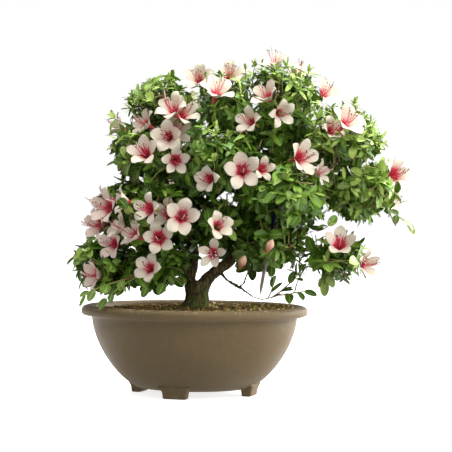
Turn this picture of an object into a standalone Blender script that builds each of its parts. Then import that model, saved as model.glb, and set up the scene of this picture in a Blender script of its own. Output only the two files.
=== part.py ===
"""A flowering azalea bonsai in a round, four-footed bowl. Metres, +Z up, standing on z = 0.

The origin is under the middle of the whole object. The trunk and the bowl's axis stand off it, because
the crown leans to +X. The front of the plant faces -Y. Run it with blender --background --python part.py.
"""

import math

import bmesh
import bpy
from mathutils import Matrix, Vector, noise
from mathutils.bvhtree import BVHTree

MM = 0.001
GAP = 0.4 * MM

# Bowl
RIM_RADIUS = 155 * MM
RIM_HEIGHT = 121 * MM
BODY_RADIUS = 141 * MM
BODY_TOP = 108 * MM
BASE_RADIUS = 76 * MM
WALL = 5 * MM
FLOOR_UNDERSIDE = 9.5 * MM
FLOOR_THICKNESS = 6 * MM
BOWL_SEGMENTS = 44
FOOT_RING_RADIUS = 79 * MM
FOOT_WIDTH = 35 * MM
FOOT_DEPTH = 14 * MM
FOOT_ROUNDING = 2 * MM
FOOT_TURN = math.radians(17)
DRAIN_RADIUS = 12 * MM
DRAIN_OFFSET = 38 * MM
MESH_SIDE = 36 * MM
MESH_HOLES = 4
MESH_BAR = 2 * MM
MESH_THICKNESS = 1 * MM

# Soil
SOIL_EDGE_BELOW_RIM = 5 * MM
SOIL_RINGS = (0.25, 0.45, 0.65, 0.85, 1.0)
SOIL_SEGMENTS = 32

# The whole plant and bowl stand at this place, so that the origin is under the object's middle.
BOWL_AXIS = (-66.6 * MM, 0.0, 0.0)

# Plant label
LABEL_LENGTH = 112 * MM
LABEL_WIDTH = 8 * MM
LABEL_THICKNESS = 1 * MM
LABEL_TIP_LENGTH = 9 * MM

# Azalea flower, drawn 52 mm across its petals, with its mouth at its origin
FLOWER_SPAN = 52 * MM
PETALS = 5
SOCKET_GROWTH = 1.06
SLIDE = 2 * MM
SLIDE_STEPS = 40

GOLDEN_ANGLE = math.radians(137.508)


def srgb(hex_colour):
    """Linear RGBA of an sRGB hex colour."""
    channels = [int(hex_colour[i : i + 2], 16) / 255 for i in (1, 3, 5)]
    return [c / 12.92 if c <= 0.04045 else ((c + 0.055) / 1.055) ** 2.4 for c in channels] + [1]


def material(name, hex_colour, roughness):
    """A plain Principled material, made once for each name."""
    made = bpy.data.materials.get(name)
    if made:
        return made
    made = bpy.data.materials.new(name)
    made.use_nodes = True
    shader = made.node_tree.nodes["Principled BSDF"]
    shader.inputs["Base Color"].default_value = srgb(hex_colour)
    shader.inputs["Roughness"].default_value = roughness
    shader.inputs["Metallic"].default_value = 0
    return made


def mesh_object(name, bm, finish=None):
    """An object from a bmesh, shaded smooth except at sharp edges."""
    bmesh.ops.recalc_face_normals(bm, faces=bm.faces)
    mesh = bpy.data.meshes.new(name)
    bm.to_mesh(mesh)
    bm.free()
    mesh.shade_smooth()
    mesh.set_sharp_from_angle(angle=math.radians(40))
    obj = bpy.data.objects.new(name, mesh)
    bpy.context.scene.collection.objects.link(obj)
    if finish:
        mesh.materials.append(finish)
    return obj


def boolean(target, cutter, operation):
    """Applies an EXACT Boolean to the target's own mesh."""
    modifier = target.modifiers.new(operation, "BOOLEAN")
    modifier.object = cutter
    modifier.operation = operation
    modifier.solver = "EXACT"
    bpy.context.view_layer.update()
    evaluated = target.evaluated_get(bpy.context.evaluated_depsgraph_get())
    result = bpy.data.meshes.new_from_object(evaluated)
    target.modifiers.remove(modifier)
    old = target.data
    target.data = result
    bpy.data.meshes.remove(old)


def discard(obj):
    """Removes a helper object and its mesh."""
    mesh = obj.data
    bpy.data.objects.remove(obj)
    if not mesh.users:
        bpy.data.meshes.remove(mesh)


def world_tree(obj):
    """The object's faces in world space, for tests against other solids."""
    points = [obj.matrix_world @ vertex.co for vertex in obj.data.vertices]
    return BVHTree.FromPolygons(points, [polygon.vertices[:] for polygon in obj.data.polygons])


def lathe(profile, segments):
    """A closed turned solid from (radius, height) points that start and end on the axis."""
    bm = bmesh.new()
    rings = []
    for radius, height in profile:
        count = segments if radius > 0 else 1
        angles = [2 * math.pi * i / segments for i in range(count)]
        rings.append([bm.verts.new((radius * math.cos(a), radius * math.sin(a), height)) for a in angles])
    for lower, upper in zip(rings, rings[1:]):
        for i in range(segments):
            corners = [lower[i % len(lower)], lower[(i + 1) % len(lower)]]
            corners += [upper[(i + 1) % len(upper)], upper[i % len(upper)]]
            bm.faces.new(list(dict.fromkeys(corners)))
    return bm


def loft(bm, rings):
    """Joins rings of equal length into a skin and closes both ends with flat caps."""
    loops = [[bm.verts.new(point) for point in ring] for ring in rings]
    for first, second in zip(loops, loops[1:]):
        for i in range(len(first)):
            j = (i + 1) % len(first)
            bm.faces.new((first[i], first[j], second[j], second[i]))
    bm.faces.new(loops[0][::-1])
    bm.faces.new(loops[-1])


def smooth_path(stations, steps):
    """A Catmull-Rom curve through (point, radius) stations, as a longer list of stations."""
    padded = [stations[0], *stations, stations[-1]]
    path = []
    for (a, ra), (b, rb), (c, rc), (d, rd) in zip(padded, padded[1:], padded[2:], padded[3:]):
        for step in range(steps):
            t = step / steps
            weights = (-t + 2 * t**2 - t**3, 2 - 5 * t**2 + 3 * t**3, t + 4 * t**2 - 3 * t**3, t**3 - t**2)
            point = sum((w * p for w, p in zip(weights, (a, b, c, d))), Vector()) / 2
            radius = sum(w * r for w, r in zip(weights, (ra, rb, rc, rd))) / 2
            path.append((point, radius))
    path.append(stations[-1])
    return path


def tube(name, stations, sides, steps, extra=0.0):
    """A tapered round branch along its stations. extra thickens it and lengthens both ends."""
    path = smooth_path([(Vector(point) * MM, radius * MM) for point, radius in stations], steps)
    points = [point for point, _ in path]
    starts = [points[0], *points]
    ends = [*points[1:], points[-1], points[-1]]
    tangents = [(ends[i] - starts[i]).normalized() for i in range(len(points))]
    points[0] = points[0] - tangents[0] * extra
    points[-1] = points[-1] + tangents[-1] * extra
    across = tangents[0].orthogonal().normalized()
    rings = []
    for (_, radius), point, tangent in zip(path, points, tangents):
        across = (across - tangent * across.dot(tangent)).normalized()
        other = tangent.cross(across)
        turns = [2 * math.pi * i / sides for i in range(sides)]
        reach = radius + extra
        rings.append([point + reach * (math.cos(a) * across + math.sin(a) * other) for a in turns])
    bm = bmesh.new()
    loft(bm, rings)
    return mesh_object(name, bm)


# ---------------------------------------------------------------------------------------------- bowl

# The rolled rim from its inner edge, over the top and down to the step under it, as (inward from the
# outermost radius, down from the top) in mm.
RIM_ROLL = [
    (18.5, 7), (16.5, 2.6), (12.5, 0.3), (7.5, 0), (3, 1.6), (0.5, 4.6), (0, 8.4), (1, 11.8), (4, 13.4),
    (9, 13.6), (12.8, 14.6), (14.3, 17.5),
]


def inner_wall():
    """(radius, height) along the bowl's inside, from the middle of its floor to the rim's inner edge."""
    floor = FLOOR_UNDERSIDE + FLOOR_THICKNESS
    heights = [28, 38, 50, 68, 88, 106]
    curve = [(0, floor), (64 * MM, floor), (80 * MM, floor + 4.5 * MM)]
    return curve + [(outer_radius(h * MM - WALL * 0.6) - WALL, h * MM) for h in heights]


def outer_radius(height):
    """Radius of the bowl's outer side under the rim: a curve that steepens from the base to the rim."""
    rise = (height - FLOOR_UNDERSIDE) / (BODY_TOP - FLOOR_UNDERSIDE)
    return BASE_RADIUS + (BODY_RADIUS - BASE_RADIUS) * (1 - (1 - rise) ** 1.7) ** 0.72


def bowl():
    """The moulded bowl: rolled rim that overhangs the body, four feet and two drain holes."""
    rim = [(RIM_RADIUS - inward * MM, RIM_HEIGHT - down * MM) for inward, down in RIM_ROLL]
    side = [(outer_radius(h * MM), h * MM) for h in (94, 80, 64, 48, 36, 26, 18, 13)]
    base = [(BASE_RADIUS, FLOOR_UNDERSIDE), (0, FLOOR_UNDERSIDE)]
    body = mesh_object("pot", lathe(inner_wall() + rim + side + base, BOWL_SEGMENTS))
    for index in range(4):
        foot = foot_block(index * math.pi / 2 - math.pi / 2 - FOOT_TURN)
        boolean(body, foot, "UNION")
        discard(foot)
    for side_sign in (-1, 1):
        drill = drain_cutter(side_sign * DRAIN_OFFSET)
        boolean(body, drill, "DIFFERENCE")
        discard(drill)
    body.data.materials.clear()
    body.data.materials.append(material("moulded_taupe", "#76694f", 0.62))
    return body


def foot_block(direction):
    """One foot at this angle round the bowl, a little wider where it runs into the body."""
    bm = bmesh.new()
    bmesh.ops.create_cube(bm, size=1)
    for vertex in bm.verts:
        outer, top = vertex.co.y > 0, vertex.co.z > 0
        vertex.co.x *= FOOT_WIDTH + (5 * MM if top else 0)
        vertex.co.y = FOOT_RING_RADIUS + vertex.co.y * FOOT_DEPTH
        vertex.co.z = (20 if outer else 13) * MM if top else 0
    edges = [edge for edge in bm.edges if min(vertex.co.z for vertex in edge.verts) == 0]
    bmesh.ops.bevel(bm, geom=edges, offset=FOOT_ROUNDING, segments=2, profile=0.5, affect="EDGES")
    bmesh.ops.rotate(bm, verts=bm.verts, matrix=Matrix.Rotation(direction - math.pi / 2, 3, "Z"))
    return mesh_object("foot_shape", bm)


def drain_cutter(x):
    """A drill for one drain hole through the floor."""
    bm = bmesh.new()
    bmesh.ops.create_cone(
        bm, cap_ends=True, segments=24, radius1=DRAIN_RADIUS, radius2=DRAIN_RADIUS, depth=40 * MM
    )
    bmesh.ops.rotate(bm, verts=bm.verts, matrix=Matrix.Rotation(math.radians(4), 3, "Z"))
    bmesh.ops.translate(bm, verts=bm.verts, vec=(x, 0, 12 * MM))
    return mesh_object("drain_shape", bm)


def drain_mesh(name, x):
    """Square plastic netting that lies over a drain hole."""
    hole = (MESH_SIDE - MESH_BAR * (MESH_HOLES + 1)) / MESH_HOLES
    lines = [-MESH_SIDE / 2]
    for _ in range(MESH_HOLES):
        lines += [lines[-1] + MESH_BAR, lines[-1] + MESH_BAR + hole]
    lines.append(MESH_SIDE / 2)
    bm = bmesh.new()
    grid = [[bm.verts.new((a, b, 0)) for b in lines] for a in lines]
    for i in range(len(lines) - 1):
        for j in range(len(lines) - 1):
            if i % 2 == 0 or j % 2 == 0:
                bm.faces.new((grid[i][j], grid[i + 1][j], grid[i + 1][j + 1], grid[i][j + 1]))
    sheet = bm.faces[:]
    raised = bmesh.ops.extrude_face_region(bm, geom=sheet, use_keep_orig=True)["geom"]
    lifted = [item for item in raised if isinstance(item, bmesh.types.BMVert)]
    bmesh.ops.translate(bm, verts=lifted, vec=(0, 0, MESH_THICKNESS))
    obj = mesh_object(name, bm, material("black_netting", "#1c1c1c", 0.6))
    obj.location = (x, 0, FLOOR_UNDERSIDE + FLOOR_THICKNESS + GAP)
    return obj


# ---------------------------------------------------------------------------------------------- soil


def soil_height(x, y):
    """Top of the soil over the bowl: level at the edge, mounded at the trunk and at the right."""
    mound = 5 * MM * math.exp(-((x - 5 * MM) ** 2 + y**2) / (45 * MM) ** 2)
    bank = 4 * MM * math.exp(-((x - 95 * MM) ** 2 + (y - 10 * MM) ** 2) / (38 * MM) ** 2)
    grain = 1.2 * MM * noise.noise((x * 60, y * 60, 3))
    return RIM_HEIGHT - SOIL_EDGE_BELOW_RIM + mound + bank + grain


def soil(wood_clearance):
    """The bed of grit and bark, from the drain meshes up to the mounded top, with the roots' room cut out."""
    low = FLOOR_UNDERSIDE + FLOOR_THICKNESS + MESH_THICKNESS + 2 * GAP
    walls = [(radius - GAP, height) for radius, height in inner_wall() if height > low]
    inward, down = RIM_ROLL[0]
    walls.append((RIM_RADIUS - inward * MM - GAP, RIM_HEIGHT - down * MM))
    top_radius = walls[-1][0] + 0.2 * MM
    profile = [(0, low), (62 * MM, low), *walls]
    profile += [(top_radius * share, RIM_HEIGHT - SOIL_EDGE_BELOW_RIM) for share in SOIL_RINGS[::-1]]
    profile.append((0, RIM_HEIGHT - SOIL_EDGE_BELOW_RIM))
    bm = lathe(profile, SOIL_SEGMENTS)
    for vertex in bm.verts:
        if vertex.co.z > walls[-1][1] + 1 * MM:
            vertex.co.z = soil_height(vertex.co.x, vertex.co.y)
    bed = mesh_object("soil", bm)
    boolean(bed, wood_clearance, "DIFFERENCE")
    keep_largest(bed)
    bed.data.materials.clear()
    bed.data.materials.append(material("bonsai_grit", "#4a3c20", 0.9))
    return bed


def keep_largest(obj):
    """Keeps only the biggest connected body of a cut solid, and drops the crumbs."""
    bm = bmesh.new()
    bm.from_mesh(obj.data)
    groups, seen = [], set()
    for start in bm.verts:
        if start in seen:
            continue
        group, queue = set(), [start]
        while queue:
            vertex = queue.pop()
            if vertex in group:
                continue
            group.add(vertex)
            queue += [edge.other_vert(vertex) for edge in vertex.link_edges]
        seen |= group
        groups.append(group)
    biggest = max(groups, key=len)
    bmesh.ops.delete(bm, geom=[v for v in bm.verts if v not in biggest], context="VERTS")
    bm.to_mesh(obj.data)
    bm.free()


# ---------------------------------------------------------------------------------------------- wood

# Each branch: a list of ((x, y, z), radius) stations in mm from the bowl's axis, from its parent to its
# tip, and its number of sides. A branch starts inside the wood it grows from.
BRANCHES = {
    "trunk": (12, [((2, 0, 96), 30), ((2, 0, 108), 29), ((2, 0, 119), 21), ((3, 0, 131), 16.5),
                   ((3, 0, 144), 16.5), ((3, 0, 154), 17)]),
    "root_left": (8, [((0, 0, 112), 14), ((-20, -6, 111), 10), ((-40, -14, 106), 6), ((-56, -20, 98), 3)]),
    "root_right": (8, [((0, 0, 112), 14), ((24, -8, 112), 9), ((42, -12, 107), 6), ((58, -16, 98), 3)]),
    "root_back": (8, [((0, 0, 112), 14), ((10, 26, 110), 9), ((18, 46, 100), 4)]),
    "limb_left": (9, [((-2, 0, 142), 12), ((-8, 0, 156), 9), ((-3, 0, 175), 7), ((-1, 2, 196), 6.2),
                      ((-12, 4, 236), 5.5), ((-24, 2, 290), 4.6), ((-36, 0, 345), 3.6),
                      ((-46, 0, 388), 2.6)]),
    "limb_right": (9, [((8, 0, 142), 12), ((16, 0, 156), 9), ((31, 0, 170), 8), ((46, 1, 181), 7.6),
                       ((64, 2, 203), 7), ((76, 4, 226), 6.4), ((90, 5, 270), 5.4), ((106, 3, 325), 4.2),
                       ((118, 0, 392), 2.6)]),
    "low_left": (6, [((-4, 0, 178), 5), ((-38, -4, 186), 4.4), ((-82, -8, 184), 3.4),
                     ((-125, -8, 182), 2.2)]),
    "middle_left": (6, [((-9, 4, 226), 4.4), ((-48, 2, 242), 3.6), ((-92, -2, 256), 2.4)]),
    "back_left": (6, [((-14, 4, 244), 4.2), ((-42, 44, 262), 3.4), ((-66, 84, 268), 2.2)]),
    "shoulder_left": (6, [((-24, 2, 288), 4), ((-50, 4, 314), 3), ((-84, 2, 334), 2.2)]),
    "upper_front": (6, [((-18, 3, 264), 4), ((-2, -34, 296), 3.2), ((14, -74, 316), 2.2)]),
    "low_front": (6, [((-2, 1, 190), 4.4), ((-22, -32, 190), 3.2), ((-46, -52, 188), 2.2)]),
    "low_middle": (6, [((40, 1, 178), 4.6), ((64, -30, 192), 3.6), ((90, -56, 204), 2.2)]),
    "low_right": (6, [((62, 2, 200), 5.2), ((110, -2, 202), 4.4), ((158, -6, 198), 3.4),
                      ((212, -6, 190), 2.2)]),
    "middle_back": (6, [((78, 4, 232), 4.8), ((92, 48, 252), 3.6), ((104, 92, 262), 2.4)]),
    "middle_front": (6, [((88, 5, 262), 4.4), ((106, -38, 272), 3.4), ((114, -80, 274), 2.2)]),
    "right": (6, [((80, 4, 238), 5.2), ((128, 6, 262), 4.4), ((184, 4, 282), 3.4), ((240, 0, 290), 2.2)]),
    "shoulder_right": (6, [((98, 4, 298), 4.4), ((138, 4, 322), 3.6), ((204, 0, 346), 2.4)]),
    "crown_middle": (6, [((94, 5, 286), 4.2), ((70, 4, 336), 3.4), ((44, 0, 392), 2.4)]),
    "twig_low": (6, [((32, 0, 169), 3), ((45, -8, 155), 2.4), ((64, -20, 145), 2.1), ((80, -26, 134), 1.9),
                     ((92, -28, 131), 1.7), ((105, -28, 134), 1.5), ((117, -28, 139), 1.3)]),
    "twig_low_fork": (6, [((60, -18, 147), 1.8), ((67, -24, 153), 1.5), ((70, -28, 163), 1.2)]),
}


def wood(name, extra):
    """Roots, trunk, limbs, branches and low twigs joined into one grown piece. extra thickens all of it."""
    parts = []
    for key, (sides, stations) in BRANCHES.items():
        parts.append(tube(key, stations, sides, 3 if sides > 8 else 1, extra))
    grown = parts[0]
    grown.name = name
    for part in parts[1:]:
        boolean(grown, part, "UNION")
        discard(part)
    keep_largest(grown)
    grown.data.materials.clear()
    return grown


# ------------------------------------------------------------------------------------------- foliage

# Each mass of leaves: its middle and its half sizes, in mm from the bowl's axis.
FOLIAGE = {
    "crown_left": ((-41, 0, 388), (57, 82, 42)),
    "crown_middle": ((40, 0, 398), (60, 88, 43)),
    "crown_right": ((114, 0, 398), (62, 84, 54)),
    "shoulder_left": ((-69, 0, 336), (45, 100, 44)),
    "centre": ((20, 0, 322), (80, 138, 58)),
    "shoulder_right": ((196, 0, 345), (62, 104, 52)),
    "right": ((222, 0, 286), (60, 92, 40)),
    "middle": ((112, 0, 276), (76, 142, 56)),
    "left": ((-62, 0, 247), (73, 138, 49)),
    "low_left": ((-116, 0, 180), (46, 92, 42)),
    "low_middle_left": ((-56, -2, 184), (48, 100, 40)),
    "low_middle": ((94, 0, 214), (62, 114, 38)),
    "low_right": ((193, -4, 190), (47, 78, 29)),
    "heart": ((30, 0, 236), (42, 118, 40)),
}
LEAF_RAGGEDNESS = 7 * MM


def reach(sizes, direction):
    """Distance from an ellipsoid's middle to its skin in this unit direction."""
    return 1 / math.sqrt(sum((part / size) ** 2 for part, size in zip(direction, sizes)))


def foliage(name):
    """A lumpy mass of leaves that grows until it meets the flat border with each neighbouring mass."""
    centre, sizes = (Vector(values) * MM for values in FOLIAGE[name])
    bm = bmesh.new()
    bmesh.ops.create_icosphere(bm, subdivisions=3, radius=1)
    borders = []
    for other, (middle, other_sizes) in FOLIAGE.items():
        if other == name:
            continue
        across = Vector(middle) * MM - centre
        way = across.normalized()
        mine, theirs = reach(sizes, way), reach(Vector(other_sizes) * MM, way)
        borders.append((way, across.length * mine / (mine + theirs) - GAP))
    for vertex in bm.verts:
        point = Vector(a * b for a, b in zip(vertex.co, sizes))
        bump = noise.noise((point + centre) * 28) + 0.5 * noise.noise((point + centre) * 60)
        point += vertex.co * bump * LEAF_RAGGEDNESS
        for way, distance in borders:
            beyond = point.dot(way)
            if beyond > distance:
                point *= distance / beyond
        vertex.co = point + centre
    return mesh_object("foliage_" + name, bm, material("azalea_leaf", "#3f5a1e", 0.5))


# ------------------------------------------------------------------------------------------- flowers

# Each open flower: its mouth (x, y, z) in mm from the bowl's axis, the way it faces in degrees (turn to
# the right of straight ahead, tilt upward) and its span in mm. Those in front come first.
FLOWERS = [
    (34, -122, 232, 28, 18, 44), (-16, -118, 242, 5, 5, 52), (62, -118, 303, 0, 5, 54),
    (16, -124, 291, -35, 0, 44), (24, -104, 194, -8, 4, 42), (-46, -108, 213, -5, 0, 46),
    (143, -98, 322, 40, 10, 54), (-37, -92, 348, -12, 5, 50), (-25, -84, 360, 25, 25, 46),
    (-34, -75, 389, -35, 40, 54), (-14, -74, 384, 35, 35, 52), (-38, -126, 246, -30, 5, 46),
    (-62, -132, 252, -35, 5, 46), (-82, -106, 220, -55, 25, 42), (-61, -100, 175, -25, 15, 42),
    (-68, -98, 327, -20, 20, 50), (69, -88, 370, -35, 15, 44), (92, -70, 407, -35, 35, 46),
    (115, -84, 379, 30, -10, 44), (90, -116, 306, 20, 10, 36), (-24, -112, 314, 10, -10, 42),
    (29, -78, 413, 20, 50, 52), (203, -84, 373, 35, 35, 56), (183, -96, 361, 25, 25, 44),
    (193, -74, 210, 0, 30, 48), (168, -82, 303, 60, 10, 40), (-102, -104, 230, -70, 25, 42),
    (-135, -74, 164, -60, 0, 46), (-98, -108, 262, -75, 5, 44), (-132, -8, 260, -80, 10, 48),
    (-136, 6, 228, -75, 0, 48), (-72, -62, 368, -60, 25, 44), (-110, -20, 366, -95, 25, 42),
    (106, 0, 457, -25, 60, 50), (140, 0, 446, 55, 60, 46), (274, -20, 303, 42, 12, 54),
    (272, 12, 268, 60, -5, 50), (236, -10, 180, 48, 0, 48),
]
BUDS = [(99, -118, 206, 40, 55, 22), (64, -90, 184, 30, 50, 23)]


def flower_mesh():
    """One azalea flower: a stalk and tube behind five spreading, thickened petals joined at the throat."""
    # (height along the axis, radius at a petal's middle, radius at the notch between petals)
    outside = [(-28, 1.4, 1.4), (-20, 2.4, 2.4), (-8, 7, 6.5), (3, 26, 12.5)]
    inside = [(4.5, 25.6, 11), (-5.5, 5.5, 5)]
    sides = 2 * PETALS
    bm = bmesh.new()
    rings = []
    for height, petal, notch in outside + inside:
        radii = [petal, notch] * PETALS
        angles = [math.pi * i / PETALS + math.pi / 2 for i in range(sides)]
        spots = zip(radii, angles)
        rings.append([(r * math.cos(a) * MM, r * math.sin(a) * MM, height * MM) for r, a in spots])
    loft(bm, rings)
    return mesh_object("flower_shape", bm)


def bud_mesh():
    """A closed bud: a pointed spindle on a short stalk, drawn 52 mm long and scaled down in place."""
    profile = [(0, -26), (2.5, -24), (4, -14), (11, -4), (12, 6), (8, 18), (0, 26)]
    return mesh_object("bud_shape", lathe([(r * MM, z * MM) for r, z in profile], 10))


def hull_of(obj, growth):
    """The convex outline of a shape, grown about its middle, to cut its socket in the leaves."""
    bm = bmesh.new()
    bm.from_mesh(obj.data)
    hull = bmesh.ops.convex_hull(bm, input=bm.verts)
    inner = hull["geom_interior"] + hull["geom_unused"]
    loose = {item for item in inner if isinstance(item, bmesh.types.BMVert)}
    bmesh.ops.delete(bm, geom=[f for f in bm.faces if f not in set(hull["geom"])], context="FACES_ONLY")
    bmesh.ops.delete(bm, geom=list(loose), context="VERTS")
    middle = sum((vertex.co for vertex in bm.verts), Vector()) / len(bm.verts)
    for vertex in bm.verts:
        vertex.co = middle + (vertex.co - middle) * growth
    return mesh_object(obj.name + "_hull", bm)


def facing(turn, tilt, roll):
    """Rotation that points +Z along the turn and tilt, with +Y, the top petal, kept upward."""
    turn, tilt = math.radians(turn), math.radians(tilt)
    ahead = Vector((math.sin(turn) * math.cos(tilt), -math.cos(turn) * math.cos(tilt), math.sin(tilt)))
    side = Vector((0, 0, 1)).cross(ahead).normalized()
    up = ahead.cross(side)
    return Matrix((side, up, ahead)).transposed().to_4x4() @ Matrix.Rotation(roll, 4, "Z")


def place(shape, name, finish, row, roll, taken):
    """One flower or bud at its place, slid back until it clears the wood and all that is placed already."""
    *mouth, turn, tilt, span = row
    copy = bpy.data.objects.new(name, shape.data.copy())
    copy.data.materials.append(finish)
    bpy.context.scene.collection.objects.link(copy)
    size = span * MM / FLOWER_SPAN
    turned = facing(turn, tilt, roll)
    for step in range(SLIDE_STEPS):
        spot = Matrix.Translation(Vector(mouth) * MM + Vector((0, step * SLIDE, 0)))
        grown = spot @ turned @ Matrix.Scale(size * 1.03, 4)
        points = [grown @ vertex.co for vertex in copy.data.vertices]
        tree = BVHTree.FromPolygons(points, [polygon.vertices[:] for polygon in copy.data.polygons])
        if not any(tree.overlap(other) for other in taken):
            break
    else:
        raise ValueError(name + " finds no free place")
    taken.append(tree)
    copy.matrix_world = spot @ turned @ Matrix.Scale(size, 4)
    return copy


def blossoms(wood_tree):
    """All open flowers and buds with the shape each is made from. The top petals stand nearly upright."""
    taken = [wood_tree]
    flower_shape, bud_shape = flower_mesh(), bud_mesh()
    petal = material("azalea_petal", "#efe7da", 0.55)
    bud_skin = material("azalea_bud", "#e8a9a0", 0.5)
    placed = []
    for index, row in enumerate(FLOWERS, 1):
        roll = math.radians(14) * math.sin(index * GOLDEN_ANGLE)
        placed.append((place(flower_shape, f"flower_{index:02d}", petal, row, roll, taken), flower_shape))
    for index, row in enumerate(BUDS, 1):
        placed.append((place(bud_shape, f"bud_{index}", bud_skin, row, 0, taken), bud_shape))
    return placed


# --------------------------------------------------------------------------------------------- label


def label(name, extra):
    """A flat plant label, square at its top and pointed at its foot, hung point down in the branches."""
    half, thick = LABEL_WIDTH / 2 + extra, LABEL_THICKNESS / 2 + extra
    outline = [(-half, 0), (-half, LABEL_LENGTH + extra), (half, LABEL_LENGTH + extra), (half, 0)]
    outline.append((0, -LABEL_TIP_LENGTH - extra))
    bm = bmesh.new()
    loft(bm, [[(x, y, z) for x, z in outline] for y in (-thick, thick)])
    return mesh_object(name, bm)


def place_label(obj):
    """Leans the label to the right, its point just over the soil."""
    lean = Matrix.Rotation(math.radians(10), 4, "Y") @ Matrix.Rotation(math.radians(-62), 4, "Z")
    obj.matrix_world = Matrix.Translation(Vector((90, -52, 148)) * MM) @ lean


# ------------------------------------------------------------------------------------------ assembly


def make_room(masses, cutters):
    """Cuts each cutter from every mass of leaves whose skin it meets, and drops the crumbs."""
    for cutter in cutters:
        shadow = world_tree(cutter)
        for mass in masses:
            if world_tree(mass).overlap(shadow):
                boolean(mass, cutter, "DIFFERENCE")
    for mass in masses:
        keep_largest(mass)


def build():
    """Every piece at its place, all carried by one empty."""
    stand = bpy.data.objects.new("bonsai", None)
    bpy.context.scene.collection.objects.link(stand)
    bark = material("azalea_bark", "#33301a", 0.85)
    nodes = [bowl()]
    nodes.append(drain_mesh("drain_mesh_left", -DRAIN_OFFSET))
    nodes.append(drain_mesh("drain_mesh_right", DRAIN_OFFSET))
    tree = wood("trunk_and_branches", 0)
    tree.data.materials.append(bark)
    clearance = wood("wood_clearance", GAP)
    nodes += [tree, soil(clearance)]

    masses = [foliage(name) for name in FOLIAGE]
    placed = blossoms(world_tree(clearance))
    tag = label("plant_label", 0)
    tag.data.materials.append(material("pale_polystyrene", "#b9bdb6", 0.45))
    place_label(tag)
    tag_clearance = label("label_clearance", GAP)
    place_label(tag_clearance)
    bpy.context.view_layer.update()

    hulls = {shape: hull_of(shape, SOCKET_GROWTH) for _, shape in placed[:1] + placed[-1:]}
    cutters = [clearance, tag_clearance]
    for blossom, shape in placed:
        socket = bpy.data.objects.new(blossom.name + "_socket", hulls[shape].data)
        bpy.context.scene.collection.objects.link(socket)
        socket.matrix_world = blossom.matrix_world
        cutters.append(socket)
    bpy.context.view_layer.update()
    make_room(masses, cutters)
    for helper in {*cutters, *hulls.values(), *(shape for _, shape in placed)}:
        discard(helper)
    nodes += masses + [tag] + [blossom for blossom, _ in placed]
    for node in nodes:
        node.parent = stand
    stand.location = BOWL_AXIS


def main():
    for obj in list(bpy.data.objects):
        bpy.data.objects.remove(obj)
    build()


main()
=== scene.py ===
"""Looks of a flowering azalea bonsai in a round footed pot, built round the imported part.

Shapes are drawn in millimetres from the middle of the pot's foot ring. The settings, the materials and
the stage are in metres, as Blender shows them.
"""

import math
import random

import bmesh
import bpy
import numpy as np
from mathutils import Matrix, Vector, noise
from mathutils.bvhtree import BVHTree


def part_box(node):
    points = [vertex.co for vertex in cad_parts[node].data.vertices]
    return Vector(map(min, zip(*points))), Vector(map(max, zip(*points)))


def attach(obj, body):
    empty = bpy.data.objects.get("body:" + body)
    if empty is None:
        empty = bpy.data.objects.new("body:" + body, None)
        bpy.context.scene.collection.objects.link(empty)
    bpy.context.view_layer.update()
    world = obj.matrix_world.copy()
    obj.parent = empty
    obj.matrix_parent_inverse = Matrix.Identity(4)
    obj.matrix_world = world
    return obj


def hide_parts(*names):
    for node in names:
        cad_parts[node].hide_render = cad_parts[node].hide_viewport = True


bl_info = {
    "name": "Flowering azalea bonsai",
    "version": (1, 0, 0),
    "blender": (4, 5, 0),
    "location": "3D Viewport > Sidebar > Bonsai",
    "description": "Builds a flowering azalea bonsai in a footed pot, piece by piece",
    "category": "Add Mesh",
}

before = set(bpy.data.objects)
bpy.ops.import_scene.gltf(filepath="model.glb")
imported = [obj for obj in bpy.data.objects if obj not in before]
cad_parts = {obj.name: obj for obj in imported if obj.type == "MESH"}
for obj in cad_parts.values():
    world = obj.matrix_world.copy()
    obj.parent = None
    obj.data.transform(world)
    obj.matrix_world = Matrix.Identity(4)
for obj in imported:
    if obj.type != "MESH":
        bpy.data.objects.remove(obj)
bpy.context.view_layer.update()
MM = 0.001
POT_LOW, POT_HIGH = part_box("pot")
AXIS = Vector(((POT_LOW.x + POT_HIGH.x) / 2, (POT_LOW.y + POT_HIGH.y) / 2, POT_LOW.z))
FLOWER_NODES = sorted(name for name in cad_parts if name.startswith("flower_"))
FOLIAGE_NODES = sorted(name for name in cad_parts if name.startswith("foliage_"))


# ---------------------------------------------------------------- numbers, colours and nodes


def linear(colour):
    """An sRGB hex colour as linear red, green, blue and alpha."""
    parts = [int(colour[at:at + 2], 16) / 255 for at in (1, 3, 5)]
    return tuple(p / 12.92 if p <= 0.04045 else ((p + 0.055) / 1.055) ** 2.4 for p in parts) + (1.0,)


def per(size):
    """The texture scale at which a pattern repeats every so many millimetres, on metre coordinates."""
    return 1000.0 / size


def unit(vector):
    """The vector, or each row of vectors, one long."""
    vector = np.asarray(vector, float)
    return vector / np.maximum(np.linalg.norm(vector, axis=-1, keepdims=True), 1e-12)


# A colour Mix node's inputs and output by number, since its names repeat, and its two ways of mixing.
SHARE, BELOW, ABOVE, MIXED = 0, 6, 7, 2
OVER = {"data_type": "RGBA"}
TIMES = {"data_type": "RGBA", "blend_type": "MULTIPLY"}
# The part of a noise's range that its values mostly keep to.
MIDDLE = {"From Min": 0.3, "From Max": 0.7}


def fill(made, links):
    """Sets a node's inputs to values, or joins them to sockets or to other nodes' main outputs."""
    for key, value in links.items():
        if isinstance(value, bpy.types.Node):
            value = value.outputs[MIXED if value.bl_idname == "ShaderNodeMix" else 0]
        if isinstance(value, bpy.types.NodeSocket):
            made.id_data.links.new(value, made.inputs[key])
        else:
            made.inputs[key].default_value = value


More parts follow.
